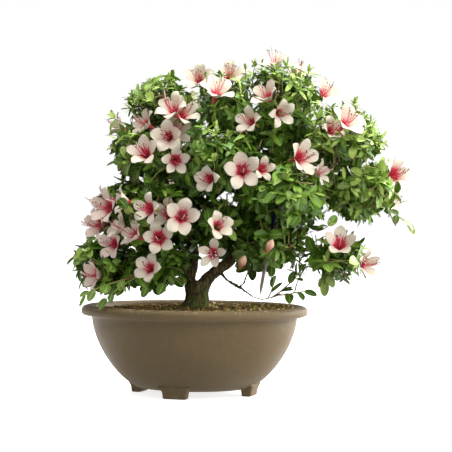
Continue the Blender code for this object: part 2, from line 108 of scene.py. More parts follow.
def node(tree, kind, links=None, stops=(), **settings):
    """Adds one shader node with its settings, the stops of its ramp, and its inputs filled or joined."""
    made = tree.nodes.new("ShaderNode" + kind)
    for key, value in settings.items():
        setattr(made, key, value)
    for number, (position, colour) in enumerate(stops):
        ramp = made.color_ramp.elements
        spot = ramp[number] if number < 2 else ramp.new(position)
        spot.position, spot.color = position, colour
    fill(made, links or {})
    return made


def finish(name, colour, roughness, specular, **more):
    """A new plain material: the material, its node tree and its shader."""
    material = bpy.data.materials.new(name)
    material.use_nodes = True
    material.diffuse_color = colour
    tree = material.node_tree
    tree.nodes.clear()
    shader = node(tree, "BsdfPrincipled", {
        "Base Color": colour, "Roughness": roughness, "Specular IOR Level": specular})
    fill(shader, {key.replace("_", " "): value for key, value in more.items()})
    node(tree, "OutputMaterial", {"Surface": shader})
    return material, tree, shader


# ---------------------------------------------------------------- meshes


def quads(rows, columns):
    """The faces of a grid of points."""
    corner = (np.arange(rows - 1)[:, None] * columns + np.arange(columns - 1)).reshape(-1, 1)
    return corner + np.array([0, 1, columns + 1, columns])


def tube(path, radii, sides):
    """A round tapering tube along a path: points, faces and their places on a flat map."""
    path = np.asarray(path, float)
    along = unit(np.gradient(path, axis=0))
    side = unit(np.cross(along[0], (0.31, 0.52, 0.79)))
    angles = np.linspace(0, 2 * math.pi, sides + 1)[:, None]
    rings = []
    for centre, step, radius in zip(path, along, radii):
        side = unit(side - step * np.dot(side, step))
        rings.append(centre + radius * (np.cos(angles) * side + np.sin(angles) * np.cross(step, side)))
    rows, columns = np.mgrid[0:len(path), 0:sides + 1]
    flat = np.stack([columns / sides, rows / (len(path) - 1)], -1).reshape(-1, 2)
    return np.concatenate(rings), quads(len(path), sides + 1), flat


def bend(points, steps):
    """A smooth path with so many steps between each two of the points that it goes through."""
    points = np.asarray(points, float)
    ends = np.vstack([2 * points[0] - points[1], points, 2 * points[-1] - points[-2]])
    path = []
    for before, start, end, after in zip(ends, ends[1:], ends[2:], ends[3:]):
        for t in np.arange(steps) / steps:
            path.append(
                0.5 * (2 * start + (end - before) * t + (2 * before - 5 * start + 4 * end - after) * t ** 2
                       + (3 * start - before - 3 * end + after) * t ** 3)
            )
    return np.array(path + [points[-1]])


def facing(axis, up=(0, 0, 1)):
    """A turn, as a 3 by 3 array, that brings +Z to the axis and +Y as near to up as it goes."""
    axis = unit(axis)
    side = np.cross(up, axis)
    if np.linalg.norm(side) < 1e-6:
        side = np.cross((0, 1, 0), axis)
    side = unit(side)
    return np.stack([side, np.cross(axis, side), axis], axis=1)


class Heap:
    """Gathers many small shapes into one piece, with their flat maps, marks and finishes."""

    def __init__(self):
        self.points, self.faces, self.flat, self.cells, self.finish = [], [], [], [], []
        self.marks = {}
        self.count = self.shapes = 0

    def add(self, shape, finish=0, turn=None, shift=(0, 0, 0), size=1.0, **marks):
        """Adds a shape, turned, sized and moved, in one of the piece's finishes."""
        points, faces, flat = shape
        points = np.asarray(points) * size
        if turn is not None:
            points = points @ np.asarray(turn).T
        self.points.append(points + np.asarray(shift))
        self.faces += (np.asarray(faces) + self.count).tolist()
        self.flat.append(flat)
        self.cells.append(np.full(len(points), self.shapes))
        self.finish += [finish] * len(faces)
        for key in ("tint", "youth", "eye", "upper"):
            self.marks.setdefault(key, []).append(np.full(len(points), marks.get(key, 0.5)))
        self.count += len(points)
        self.shapes += 1

    def piece(self, name, materials, slot, *nodes):
        """The gathered shapes as one object that rides the root and stands for those CAD nodes."""
        points = np.concatenate(self.points) * MM + np.array(AXIS)
        mesh = bpy.data.meshes.new(name)
        mesh.from_pydata(points, [], self.faces)
        for material in materials:
            mesh.materials.append(material)
        mesh.polygons.foreach_set("material_index", self.finish)
        mesh.polygons.foreach_set("use_smooth", [True] * len(self.faces))
        corner = np.zeros(len(mesh.loops), np.int32)
        mesh.loops.foreach_get("vertex_index", corner)
        flat, cells = np.concatenate(self.flat), np.concatenate(self.cells)
        grid = math.ceil(math.sqrt(self.shapes))
        own = np.stack([cells % grid, cells // grid], -1)
        for title, places in (("Flat", flat), ("OFBake", (own + 0.06 + 0.88 * flat) / grid)):
            mesh.uv_layers.new(name=title).data.foreach_set("uv", places[corner].astype(np.float32).ravel())
        mesh.uv_layers.active = mesh.uv_layers["OFBake"]
        for key, values in self.marks.items():
            mark = mesh.attributes.new(key, "FLOAT", "POINT")
            mark.data.foreach_set("value", np.concatenate(values).astype(np.float32))
        mesh.validate()
        return settle(name, mesh, slot, *nodes)


def settle(name, mesh, slot, *nodes):
    """A new object with this mesh, riding the root, in place of those CAD nodes; its slot is not used."""
    made = bpy.data.objects.new(name, mesh)
    bpy.context.scene.collection.objects.link(made)
    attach(made, "root")
    if nodes:
        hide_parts(*nodes)
    return made


def skin(name):
    """A CAD node's points in millimetres from the pot's axis, its triangles, and a tree for nearest tests."""
    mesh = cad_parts[name].data
    mesh.calc_loop_triangles()
    points = np.array([corner.co for corner in mesh.vertices])
    points = (points - np.array(AXIS)) / MM
    triangles = np.array([triangle.vertices[:] for triangle in mesh.loop_triangles])
    return points, triangles, BVHTree.FromPolygons(points.tolist(), triangles.tolist())


# ---------------------------------------------------------------- settings


class PotSettings(bpy.types.PropertyGroup):
    radius: bpy.props.FloatProperty(
        name="Rim radius", description="Radius of the rolled rim", unit="LENGTH",
        default=(POT_HIGH.x - POT_LOW.x) / 2)
    height: bpy.props.FloatProperty(
        name="Height", description="Height of the rim over the floor", unit="LENGTH",
        default=POT_HIGH.z - POT_LOW.z)
    foot_turn: bpy.props.FloatProperty(
        name="Foot turn", description="Turn of the four feet round the pot", subtype="ANGLE",
        default=math.radians(17))
    colour: bpy.props.FloatVectorProperty(
        name="Colour", description="Colour of the clean plastic", subtype="COLOR", size=4,
        default=linear("#635236"))
    soil_colour: bpy.props.FloatVectorProperty(
        name="Soil colour", description="Colour of the damp soil", subtype="COLOR", size=4,
        default=linear("#6a552e"))


class TreeSettings(bpy.types.PropertyGroup):
    leaf_length: bpy.props.FloatProperty(
        name="Leaf length", description="Length of a grown leaf", unit="LENGTH", default=0.0215)
    leaf_width: bpy.props.FloatProperty(
        name="Leaf width", description="Width of a grown leaf", unit="LENGTH", default=0.0120)
    shoot_spacing: bpy.props.FloatProperty(
        name="Shoot spacing", description="Least gap between two shoot tips", unit="LENGTH", default=0.0136)
    leaf_colour: bpy.props.FloatVectorProperty(
        name="Leaf colour", description="Colour of a grown leaf", subtype="COLOR", size=4,
        default=linear("#6c9424"))
    young_colour: bpy.props.FloatVectorProperty(
        name="Young leaf colour", description="Colour of a new leaf", subtype="COLOR", size=4,
        default=linear("#b2c46c"))
    bark_colour: bpy.props.FloatVectorProperty(
        name="Bark colour", description="Colour of the old bark", subtype="COLOR", size=4,
        default=linear("#65573a"))


class FlowerSettings(bpy.types.PropertyGroup):
    petal_width: bpy.props.FloatProperty(
        name="Petal width", description="Widest part of a petal on a 52 mm flower", unit="LENGTH",
        default=0.0174)
    petal_colour: bpy.props.FloatVectorProperty(
        name="Petal colour", description="Colour of a petal's outer part", subtype="COLOR", size=4,
        default=linear("#dcd4c0"))
    blush_colour: bpy.props.FloatVectorProperty(
        name="Blush colour", description="Colour between the petal and its eye", subtype="COLOR", size=4,
        default=linear("#dc8a92"))
    eye_colour: bpy.props.FloatVectorProperty(
        name="Eye colour", description="Colour of the throat", subtype="COLOR", size=4,
        default=linear("#c42c48"))


class StageSettings(bpy.types.PropertyGroup):
    distance: bpy.props.FloatProperty(
        name="Camera distance", description="Camera to the pot's middle", unit="LENGTH", default=2.23)
    lens: bpy.props.FloatProperty(
        name="Lens", description="Focal length on a 36 mm sensor, in millimetres", default=129.4)
    surround: bpy.props.FloatProperty(
        name="Surround", description="Brightness of the soft light from all round", default=0.66)
    side_light: bpy.props.FloatProperty(
        name="Side light", description="Power of the soft light behind the right side, in watts",
        default=108.0)
    top_light: bpy.props.FloatProperty(
        name="Top light", description="Power of the soft light overhead, in watts",
        default=108.0)
    fill_light: bpy.props.FloatProperty(
        name="Fill light", description="Power of the soft light before the right side, in watts",
        default=31.0)


# ---------------------------------------------------------------- finishes


def moulded_taupe_plastic(settings):
    """Matt moulded polypropylene: an even taupe, fine grain, a pale rim of wear and painted highlight, and
    lime bloom at the feet.
    """
    material, tree, shader = finish("Moulded taupe polypropylene, matt", settings.colour, 0.62, 0.25)
    place = node(tree, "TexCoord").outputs["Object"]
    # Handling marks 35 mm across, and the mould's 0.4 mm grit drawn 1.4 mm coarse so that it shows.
    cloud = node(tree, "TexNoise", {"Vector": place, "Scale": per(35), "Detail": 4.0, "Roughness": 0.6})
    grit = node(tree, "TexNoise", {"Vector": place, "Scale": per(1.4), "Detail": 2.0})
    tone = node(tree, "ValToRGB", {"Fac": cloud}, stops=(
        (0.30, (0.84, 0.85, 0.82, 1.0)), (0.72, (1.14, 1.14, 1.18, 1.0))))
    tone = node(tree, "Mix", {SHARE: 1.0, BELOW: settings.colour, ABOVE: tone}, **TIMES)
    grain = node(tree, "MapRange", {**MIDDLE, "Value": grit, "To Min": 0.9, "To Max": 1.1})
    grained = node(tree, "Mix", {SHARE: 1.0, BELOW: tone, ABOVE: grain}, **TIMES)
    # Lime bloom: pale streaks and spots of 6 mm, strongest at the rim's crown and above the feet; at the
    # crown they are wear and a painted highlight along the rim as well.
    up = node(tree, "SeparateXYZ", {"Vector": place}).outputs["Z"]
    crown = node(tree, "MapRange", {"Value": up, "From Min": 0.1165, "From Max": 0.1212})
    foot = node(tree, "MapRange", {"Value": up, "From Min": 0.024, "From Max": 0.009, "To Max": 0.08})
    spots = node(tree, "TexNoise", {"Vector": place, "Scale": per(6), "Detail": 6.0, "Roughness": 0.7})
    spots = node(tree, "MapRange", {"Value": spots, "From Min": 0.53, "From Max": 0.66})
    where = node(tree, "Math", {0: crown, 1: foot}, operation="MAXIMUM")
    where = node(tree, "Math", {0: where, 1: 0.07}, operation="ADD")
    bloom_and_highlight = node(tree, "Math", {0: where, 1: spots}, operation="MULTIPLY", use_clamp=True)
    worn = node(tree, "Mix", {SHARE: bloom_and_highlight, BELOW: grained, ABOVE: linear("#a99c7e")}, **OVER)
    # Scuffs: fine slanting lines up to 20 mm long and under 2 mm wide.
    slant = node(tree, "Mapping", {"Vector": place, "Rotation": (0.5, 0.2, 0.7), "Scale": (1.0, 1.0, 0.08)})
    scuff = node(tree, "TexNoise", {"Vector": slant, "Scale": per(1.6), "Detail": 1.0})
    scuff = node(tree, "MapRange", {"Value": scuff, "From Min": 0.70, "From Max": 0.76, "To Max": 0.22})
    marked = node(tree, "Mix", {SHARE: scuff, BELOW: worn, ABOVE: linear("#8c7d5f")}, **OVER)
    rough = node(tree, "MapRange", {**MIDDLE, "Value": cloud, "To Min": 0.52, "To Max": 0.7})
    bump = node(tree, "Bump", {"Height": grit, "Strength": 0.25, "Distance": 0.0004})
    fill(shader, {"Base Color": marked, "Roughness": rough, "Normal": bump})
    return material


def damp_soil(settings):
    """Damp clay and compost under the grit: dark and tan brown crumbs with painted shade in the gaps between
    them, rough, with patches of moss.
    """
    material, tree, shader = finish("Damp bonsai soil, sifted", settings.soil_colour, 0.92, 0.25)
    place = node(tree, "TexCoord").outputs["Object"]
    crumb = node(tree, "TexVoronoi", {"Vector": place, "Scale": per(3.5)})
    cloud = node(tree, "TexNoise", {"Vector": place, "Scale": per(16), "Detail": 5.0, "Roughness": 0.65})
    tone = node(tree, "ValToRGB", {"Fac": cloud}, stops=(
        (0.34, linear("#3c301a")), (0.50, settings.soil_colour), (0.60, linear("#806938")),
        (0.68, linear("#7d8640"))))
    # Each crumb is lighter in its middle and darker towards its edges, where the bump sinks the gaps: painted
    # shade between the crumbs.
    dark = node(tree, "MapRange", {"Value": crumb, "From Max": 0.6, "To Min": 1.15, "To Max": 0.45})
    tone = node(tree, "Mix", {SHARE: 1.0, BELOW: tone, ABOVE: dark}, **TIMES)
    bump = node(tree, "Bump", {"Height": crumb, "Strength": 0.8, "Distance": 0.0015}, invert=True)
    fill(shader, {"Base Color": tone, "Normal": bump})
    return material


def baked_clay_grit():
    """Broken baked clay, bark chips and moss crumbs: each grain its own colour, dry and chalky."""
    material, tree, shader = finish("Baked clay grit, broken", linear("#77603a"), 0.9, 0.2)
    tint = node(tree, "Attribute", attribute_name="tint").outputs["Fac"]
    # One colour to each grain: wet clay, bark, fired orange, tan, moss and pale pumice.
    tone = node(tree, "ValToRGB", {"Fac": tint}, stops=(
        (0.0, linear("#4a3d27")), (0.22, linear("#6f5a30")), (0.42, linear("#8c6d38")),
        (0.58, linear("#a67c48")), (0.70, linear("#848f3c")), (0.84, linear("#bba66c")),
        (0.99, linear("#e2cb9c"))))
    place = node(tree, "TexCoord").outputs["Object"]
    pit = node(tree, "TexNoise", {"Vector": place, "Scale": per(1.5), "Detail": 4.0})
    # Each grain is darker in its pits and lighter on its bumps.
    speckle = node(tree, "MapRange", {**MIDDLE, "Value": pit, "To Min": 0.65, "To Max": 1.2})
    tone = node(tree, "Mix", {SHARE: 1.0, BELOW: tone, ABOVE: speckle}, **TIMES)
    bump = node(tree, "Bump", {"Height": pit, "Strength": 0.6, "Distance": 0.0008})
    fill(shader, {"Base Color": tone, "Normal": bump})
    return material


def old_bark(settings):
    """Old azalea bark, dry and flaking: upright grey-brown plates, dark cracks, and moss at the roots."""
    material, tree, shader = finish("Old azalea bark, flaking", settings.bark_colour, 0.88, 0.25)
    place = node(tree, "TexCoord").outputs["Object"]
    long = node(tree, "Mapping", {"Vector": place, "Scale": (1.0, 1.0, 0.34)})
    plates = node(tree, "TexVoronoi", {"Vector": long, "Scale": per(5)}, feature="DISTANCE_TO_EDGE")
    crack = node(tree, "MapRange", {"Value": plates, "From Max": 0.22, "To Min": 0.35, "To Max": 1.0})
    cloud = node(tree, "TexNoise", {"Vector": long, "Scale": per(9), "Detail": 6.0, "Roughness": 0.7})
    tone = node(tree, "ValToRGB", {"Fac": cloud}, stops=(
        (0.30, linear("#3d3420")), (0.46, settings.bark_colour), (0.58, linear("#877650")),
        (0.72, linear("#9c966b"))))
    tone = node(tree, "Mix", {SHARE: 1.0, BELOW: tone, ABOVE: crack}, **TIMES)
    up = node(tree, "SeparateXYZ", {"Vector": place}).outputs["Z"]
    low = node(tree, "MapRange", {"Value": up, "From Min": 0.158, "From Max": 0.122})
    tufts = node(tree, "TexNoise", {"Vector": place, "Scale": per(7), "Detail": 5.0})
    tufts = node(tree, "MapRange", {"Value": tufts, "From Min": 0.38, "From Max": 0.56})
    moss = node(tree, "Math", {0: low, 1: tufts}, operation="MULTIPLY", use_clamp=True)
    tone = node(tree, "Mix", {SHARE: moss, BELOW: tone, ABOVE: linear("#566728")}, **OVER)
    height = node(tree, "Math", {0: crack, 1: cloud}, operation="ADD")
    bump = node(tree, "Bump", {"Height": height, "Strength": 0.8, "Distance": 0.0014})
    fill(shader, {"Base Color": tone, "Normal": bump})
    return material


def young_twig():
    """Second-year azalea wood: thin brown skin, greener to the tip, with a slight shine."""
    material, tree, shader = finish("Azalea twig, second year", linear("#5a4a30"), 0.7, 0.35)
    along = node(tree, "UVMap", uv_map="Flat").outputs["UV"]
    along = node(tree, "SeparateXYZ", {"Vector": along}).outputs["Y"]
    place = node(tree, "TexCoord").outputs["Object"]
    spots = node(tree, "TexNoise", {"Vector": place, "Scale": per(2.5), "Detail": 3.0})
    mixed = node(tree, "Math", {0: along, 1: spots}, operation="ADD")
    tone = node(tree, "ValToRGB", {"Fac": mixed}, stops=(
        (0.35, linear("#54412b")), (0.75, linear("#7c6440")), (1.0, linear("#8a9444"))))
    bump = node(tree, "Bump", {"Height": spots, "Strength": 0.5, "Distance": 0.0005})
    fill(shader, {"Base Color": tone, "Normal": bump})
    return material


def waxy_leaf(settings):
    """Azalea leaf: waxy green with a pale midrib and side veins; new leaves are lime and less shiny."""
    material, tree, shader = finish("Azalea leaf, waxy", settings.leaf_colour, 0.42, 0.24)
    flat = node(tree, "UVMap", uv_map="Flat").outputs["UV"]
    flat = node(tree, "SeparateXYZ", {"Vector": flat})
    tint = node(tree, "Attribute", attribute_name="tint").outputs["Fac"]
    youth = node(tree, "Attribute", attribute_name="youth").outputs["Fac"]
    # The tint mark is each leaf's random tone times the light and shade painted on it for its place in the
    # crown.
    grown = node(tree, "ValToRGB", {"Fac": tint}, stops=(
        (0.0, linear("#31500c")), (0.4, linear("#4b7212")), (0.75, settings.leaf_colour),
        (1.0, linear("#9fb856"))))
    tone = node(tree, "Mix", {SHARE: youth, BELOW: grown, ABOVE: settings.young_colour}, **OVER)
    place = node(tree, "TexCoord").outputs["Object"]
    blotch = node(tree, "TexNoise", {"Vector": place, "Scale": per(8), "Detail": 3.0})
    blotch = node(tree, "MapRange", {**MIDDLE, "Value": blotch, "To Min": 0.8, "To Max": 1.2})
    tone = node(tree, "Mix", {SHARE: 1.0, BELOW: tone, ABOVE: blotch}, **TIMES)
    # The midrib is about 1 mm wide on a 12 mm leaf; side veins leave it every 3 mm at a slant.
    off = node(tree, "Math", {0: flat.outputs["Y"], 1: 0.5}, operation="SUBTRACT")
    off = node(tree, "Math", {0: off}, operation="ABSOLUTE")
    rib = node(tree, "MapRange", {"Value": off, "From Min": 0.075, "From Max": 0.02})
    slant = node(tree, "Math", {0: off, 1: -0.55, 2: flat.outputs["X"]}, operation="MULTIPLY_ADD")
    wave = node(tree, "Math", {0: slant, 1: 2 * math.pi * 8}, operation="MULTIPLY")
    wave = node(tree, "Math", {0: wave}, operation="SINE")
    vein = node(tree, "MapRange", {"Value": wave, "From Min": 0.72, "From Max": 1.0, "To Max": 0.3})
    lines = node(tree, "Math", {0: rib, 1: vein}, operation="MAXIMUM")
    pale = node(tree, "Math", {0: lines, 1: 0.55}, operation="MULTIPLY")
    tone = node(tree, "Mix", {SHARE: pale, BELOW: tone, ABOVE: linear("#aac96c")}, **OVER)
    rough = node(tree, "MapRange", {"Value": youth, "To Min": 0.36, "To Max": 0.55})
    bump = node(tree, "Bump", {"Height": lines, "Strength": 0.5, "Distance": 0.0004}, invert=True)
    fill(shader, {"Base Color": tone, "Roughness": rough, "Normal": bump})
    return material


def azalea_petal(settings):
    """Azalea petal: thin, soft and matt, cream to blush, with a crimson eye that runs out along the veins."""
    material, tree, shader = finish("Azalea petal, fresh", settings.petal_colour, 0.6, 0.25,
                                    Sheen_Weight=0.05, Sheen_Roughness=0.5)
    flat = node(tree, "UVMap", uv_map="Flat").outputs["UV"]
    parts = node(tree, "SeparateXYZ", {"Vector": flat})
    tint = node(tree, "Attribute", attribute_name="tint").outputs["Fac"]
    eye = node(tree, "Attribute", attribute_name="eye").outputs["Fac"]
    upper = node(tree, "Attribute", attribute_name="upper").outputs["Fac"]
    # Veins run base to tip, about 1 mm apart on a 17 mm petal.
    stretch = node(tree, "Mapping", {"Vector": flat, "Scale": (1.6, 15.0, 1.0)})
    seed = node(tree, "CombineXYZ", {"Z": tint})
    seed = node(tree, "VectorMath", {0: seed, 3: 40.0}, operation="SCALE")
    stretch = node(tree, "VectorMath", {0: stretch, 1: seed}, operation="ADD")
    vein = node(tree, "TexNoise", {"Vector": stretch, "Scale": 1.0, "Detail": 3.0, "Roughness": 0.6})
    reach = node(tree, "Math", {0: vein, 1: 0.62, 2: -0.31}, operation="MULTIPLY_ADD")
    reach = node(tree, "Math", {0: reach, 1: eye}, operation="ADD")
    gap = node(tree, "Math", {0: parts.outputs["X"], 1: reach}, operation="SUBTRACT")
    blush = node(tree, "MapRange", {"Value": gap, "From Min": 0.24, "From Max": -0.04})
    core = node(tree, "MapRange", {"Value": gap, "From Min": 0.06, "From Max": -0.08})
    # Each flower's tint mixes in a paler pink: blush, and on the flowers at the left edge painted glare as
    # well.
    blush_and_glare = node(tree, "Mix", {SHARE: tint, BELOW: settings.petal_colour, ABOVE: linear("#efd6ca")}, **OVER)
    soft = node(tree, "Math", {0: blush, 1: 1.7}, operation="POWER")
    tone = node(tree, "Mix", {SHARE: soft, BELOW: blush_and_glare, ABOVE: settings.blush_colour}, **OVER)
    tone = node(tree, "Mix", {SHARE: core, BELOW: tone, ABOVE: settings.eye_colour}, **OVER)
    # Crimson freckles under 1 mm on the upper petals, out to two thirds of the petal.
    spread = node(tree, "VectorMath", {0: flat, 1: (11.0, 8.0, 1.0)}, operation="MULTIPLY")
    freckle = node(tree, "TexVoronoi", {"Vector": spread, "Scale": 1.0, "Randomness": 1.0})
    freckle = node(tree, "MapRange", {"Value": freckle, "From Min": 0.26, "From Max": 0.16})
    reach = node(tree, "MapRange", {"Value": parts.outputs["X"], "From Min": 0.66, "From Max": 0.45})
    freckle = node(tree, "Math", {0: freckle, 1: reach}, operation="MULTIPLY")
    freckle = node(tree, "Math", {0: freckle, 1: upper}, operation="MULTIPLY")
    tone = node(tree, "Mix", {SHARE: freckle, BELOW: tone, ABOVE: linear("#b23350")}, **OVER)
    # The petal is quilted between its veins, in dimples of 2.4 mm.
    place = node(tree, "TexCoord").outputs["Object"]
    quilt = node(tree, "TexNoise", {"Vector": place, "Scale": per(2.4), "Detail": 1.0})
    height = node(tree, "Math", {0: quilt, 1: vein}, operation="ADD")
    bump = node(tree, "Bump", {"Height": height, "Strength": 0.55, "Distance": 0.0007})
    fill(shader, {"Base Color": tone, "Normal": bump})
    return material


def soft_tissue(name, base, tip, roughness, size):
    """A soft plant part, one colour at its base and another at its tip, mottled every so many mm."""
    material, tree, shader = finish(name, linear(base), roughness, 0.3)
    flat = node(tree, "UVMap", uv_map="Flat").outputs["UV"]
    along = node(tree, "SeparateXYZ", {"Vector": flat}).outputs["Y"]
    place = node(tree, "TexCoord").outputs["Object"]
    mottle = node(tree, "TexNoise", {"Vector": place, "Scale": per(size), "Detail": 3.0})
    mixed = node(tree, "Math", {0: mottle, 1: 0.6, 2: -0.3}, operation="MULTIPLY_ADD")
    mixed = node(tree, "Math", {0: mixed, 1: along}, operation="ADD", use_clamp=True)
    tone = node(tree, "Mix", {SHARE: mixed, BELOW: linear(base), ABOVE: linear(tip)}, **OVER)
    bump = node(tree, "Bump", {"Height": mottle, "Strength": 0.3, "Distance": 0.0004})
    fill(shader, {"Base Color": tone, "Normal": bump})
    return material


def label_plastic():
    """Extruded polystyrene stake: satin grey-white, dull from weather, under a dark blue dipped head."""
    material, tree, shader = finish("Polystyrene plant label, dipped", linear("#cccbbf"), 0.45, 0.45)
    flat = node(tree, "UVMap", uv_map="Flat").outputs["UV"]
    along = node(tree, "SeparateXYZ", {"Vector": flat}).outputs["Y"]
    place = node(tree, "TexCoord").outputs["Object"]
    dirt = node(tree, "TexNoise", {"Vector": place, "Scale": per(9), "Detail": 5.0, "Roughness": 0.7})
    grey = node(tree, "ValToRGB", {"Fac": dirt}, stops=(
        (0.35, linear("#b4b4a4")), (0.6, linear("#dcdbd0"))))
    blue = node(tree, "ValToRGB", {"Fac": dirt}, stops=(
        (0.35, linear("#1a2a55")), (0.65, linear("#2b417a"))))
    edge = node(tree, "MapRange", {"Value": along, "From Min": 0.70, "From Max": 0.705})
    tone = node(tree, "Mix", {SHARE: edge, BELOW: grey, ABOVE: blue}, **OVER)
    rough = node(tree, "MapRange", {"Value": dirt, "To Min": 0.35, "To Max": 0.6})
    fill(shader, {"Base Color": tone, "Roughness": rough})
    return material


def black_netting():
    """Extruded polyethylene netting: black, faintly shiny strands dusted with soil."""
    material, tree, shader = finish("Black polyethylene netting", linear("#1c1b19"), 0.45, 0.5)
    place = node(tree, "TexCoord").outputs["Object"]
    speckle = node(tree, "TexNoise", {"Vector": place, "Scale": per(4), "Detail": 5.0})
    tone = node(tree, "ValToRGB", {"Fac": speckle}, stops=(
        (0.5, linear("#1b1b1a")), (0.7, linear("#4d4331"))))
    rough = node(tree, "MapRange", {"Value": speckle, "To Min": 0.3, "To Max": 0.85})
    fill(shader, {"Base Color": tone, "Roughness": rough})
    return material


# ---------------------------------------------------------------- pot, feet and soil

# The rolled rim, inwards and down from its widest, highest corner.
RIM_ROLL = (
    (18.5, 7), (16.5, 2.6), (12.5, 0.3), (7.5, 0), (3, 1.6), (0.5, 4.6), (0, 8.4), (1, 11.8), (4, 13.4),
    (9, 13.6), (12.8, 14.6), (14.3, 17.5),
)
RIM_DEPTH = RIM_ROLL[-1][1]
# The wall's thickness, and the heights of the base's underside and of the floor inside.
WALL, UNDERSIDE, FLOOR = 5.0, 9.5, 15.5
# The bowl's radius at its base, how much it widens above that, and over what height.
BASE_RADIUS, SWELL, BODY_RISE = 76, 65, 98.5
# The ring that the feet stand on, half a foot's width and depth, and the points round it.
FOOT_RING, FOOT_HALF_WIDTH, FOOT_HALF_DEPTH, FOOT_SIDES = 79.0, 16.4, 7, 33
# The soil's radius and level, its rings and sides, and the height where its skirt ends in the bowl.
BED_RADIUS, BED_LEVEL, BED_RINGS, BED_SIDES, SKIRT_FOOT = 137, 114.9, 54, 120, 108
# The bare ring round the trunk, and how many grains and bark chips lie on the soil.
ROOT_FLARE, GRAINS, CHIPS = 22, 1900, 110


def bowl_radius(height):
    """The bowl's outside radius at a height."""
    rise = min(max((height - UNDERSIDE) / BODY_RISE, 0.0), 1.0)
    return BASE_RADIUS + SWELL * (1 - (1 - rise) ** 1.7) ** 0.72


def bed_height(x, y):
    """The height of the soil, mounded round the trunk and banked up on the right."""
    mound = 5 * math.exp(-((x - 5) ** 2 + y ** 2) / 45 ** 2)
    bank = 4 * math.exp(-((x - 95) ** 2 + (y - 10) ** 2) / 38 ** 2)
    lumps = 2.2 * noise.noise(Vector((x / 11, y / 11, 3.0))) + 1.2 * noise.noise(Vector((x / 4, y / 4, 8.0)))
    return BED_LEVEL + 1.6 * x / BED_RADIUS + mound + bank + lumps


def turned(profile, sides):
    """A profile of radii and heights turned round the axis: points, faces and flat map."""
    profile = np.asarray(profile, float)
    angles = np.linspace(0, 2 * math.pi, sides + 1)
    radii, heights = profile[:, :1], profile[:, 1:]
    points = np.stack([radii * np.cos(angles), radii * np.sin(angles), heights + 0 * angles], -1)
    rows, columns = np.mgrid[0:len(profile), 0:sides + 1]
    flat = np.stack([columns / sides, rows / (len(profile) - 1)], -1).reshape(-1, 2)
    return points.reshape(-1, 3), quads(len(profile), sides + 1), flat


def foot_shape():
    """One foot: a block with soft corners, flared where it grows out of the bowl."""
    rows = ((0, -1.6, -1.6), (0.6, -0.5, -0.5), (1.8, 0, 0), (6, 0.3, 0.4), (9, 0.8, 1.2), (11.5, 2.0, 2.2),
            (13.5, 4, 3), (15.5, 7, 3.4), (18, 8, 2.6))
    corners = [(math.cos(a), math.sin(a)) for a in np.linspace(0, 2 * math.pi, FOOT_SIDES)]
    points = []
    for height, out, deep in rows:
        for cosine, sine in corners:
            wide = abs(cosine) ** 0.22 * math.copysign(1, cosine) * (FOOT_HALF_WIDTH + out)
            thick = abs(sine) ** 0.22 * math.copysign(1, sine) * (FOOT_HALF_DEPTH + deep)
            points.append((wide, thick, height))
    cap = [(x * 0.02, y * 0.02, z) for x, y, z in points[:FOOT_SIDES]]
    rows_of, columns = np.mgrid[0:len(rows) + 1, 0:FOOT_SIDES]
    flat = np.stack([columns / (FOOT_SIDES - 1), rows_of / len(rows)], -1).reshape(-1, 2)
    return np.array(cap + points), quads(len(rows) + 1, FOOT_SIDES), flat


class BONSAI_OT_pot(bpy.types.Operator):
    """Build the bowl with its rolled rim and four feet"""

    bl_idname = "bonsai.pot"
    bl_label = "Pot"

    def execute(self, context):
        settings = context.scene.bonsai_pot
        rim, top = settings.radius / MM, settings.height / MM
        roll = bend([(rim - inward, top - down) for inward, down in RIM_ROLL], 4)
        heights = [top - RIM_DEPTH - 4 * step for step in range(1, 22)] + [14, 12, 10.8, 10]
        outside = [(bowl_radius(h), h) for h in heights if h < top - 19]
        base = [(75.4, UNDERSIDE), (73, UNDERSIDE), (40, UNDERSIDE), (1, UNDERSIDE)]
        inside = [(1, FLOOR), (60, FLOOR)]
        inside += [(bowl_radius(h) - WALL, h) for h in np.linspace(17, top - 12, 16)]
        heap = Heap()
        heap.add(turned(inside + list(map(tuple, roll)) + outside + base, 160))
        for turn in range(4):
            angle = settings.foot_turn + turn * math.pi / 2
            way = np.array((-math.sin(angle), -math.cos(angle), 0))
            basis = np.stack([np.array((way[1], -way[0], 0)), way, (0, 0, 1)], axis=1)
            heap.add(foot_shape(), turn=basis, shift=way * FOOT_RING)
        heap.piece("bowl", [moulded_taupe_plastic(settings)], "moulded_taupe_plastic", "pot")
        return {"FINISHED"}


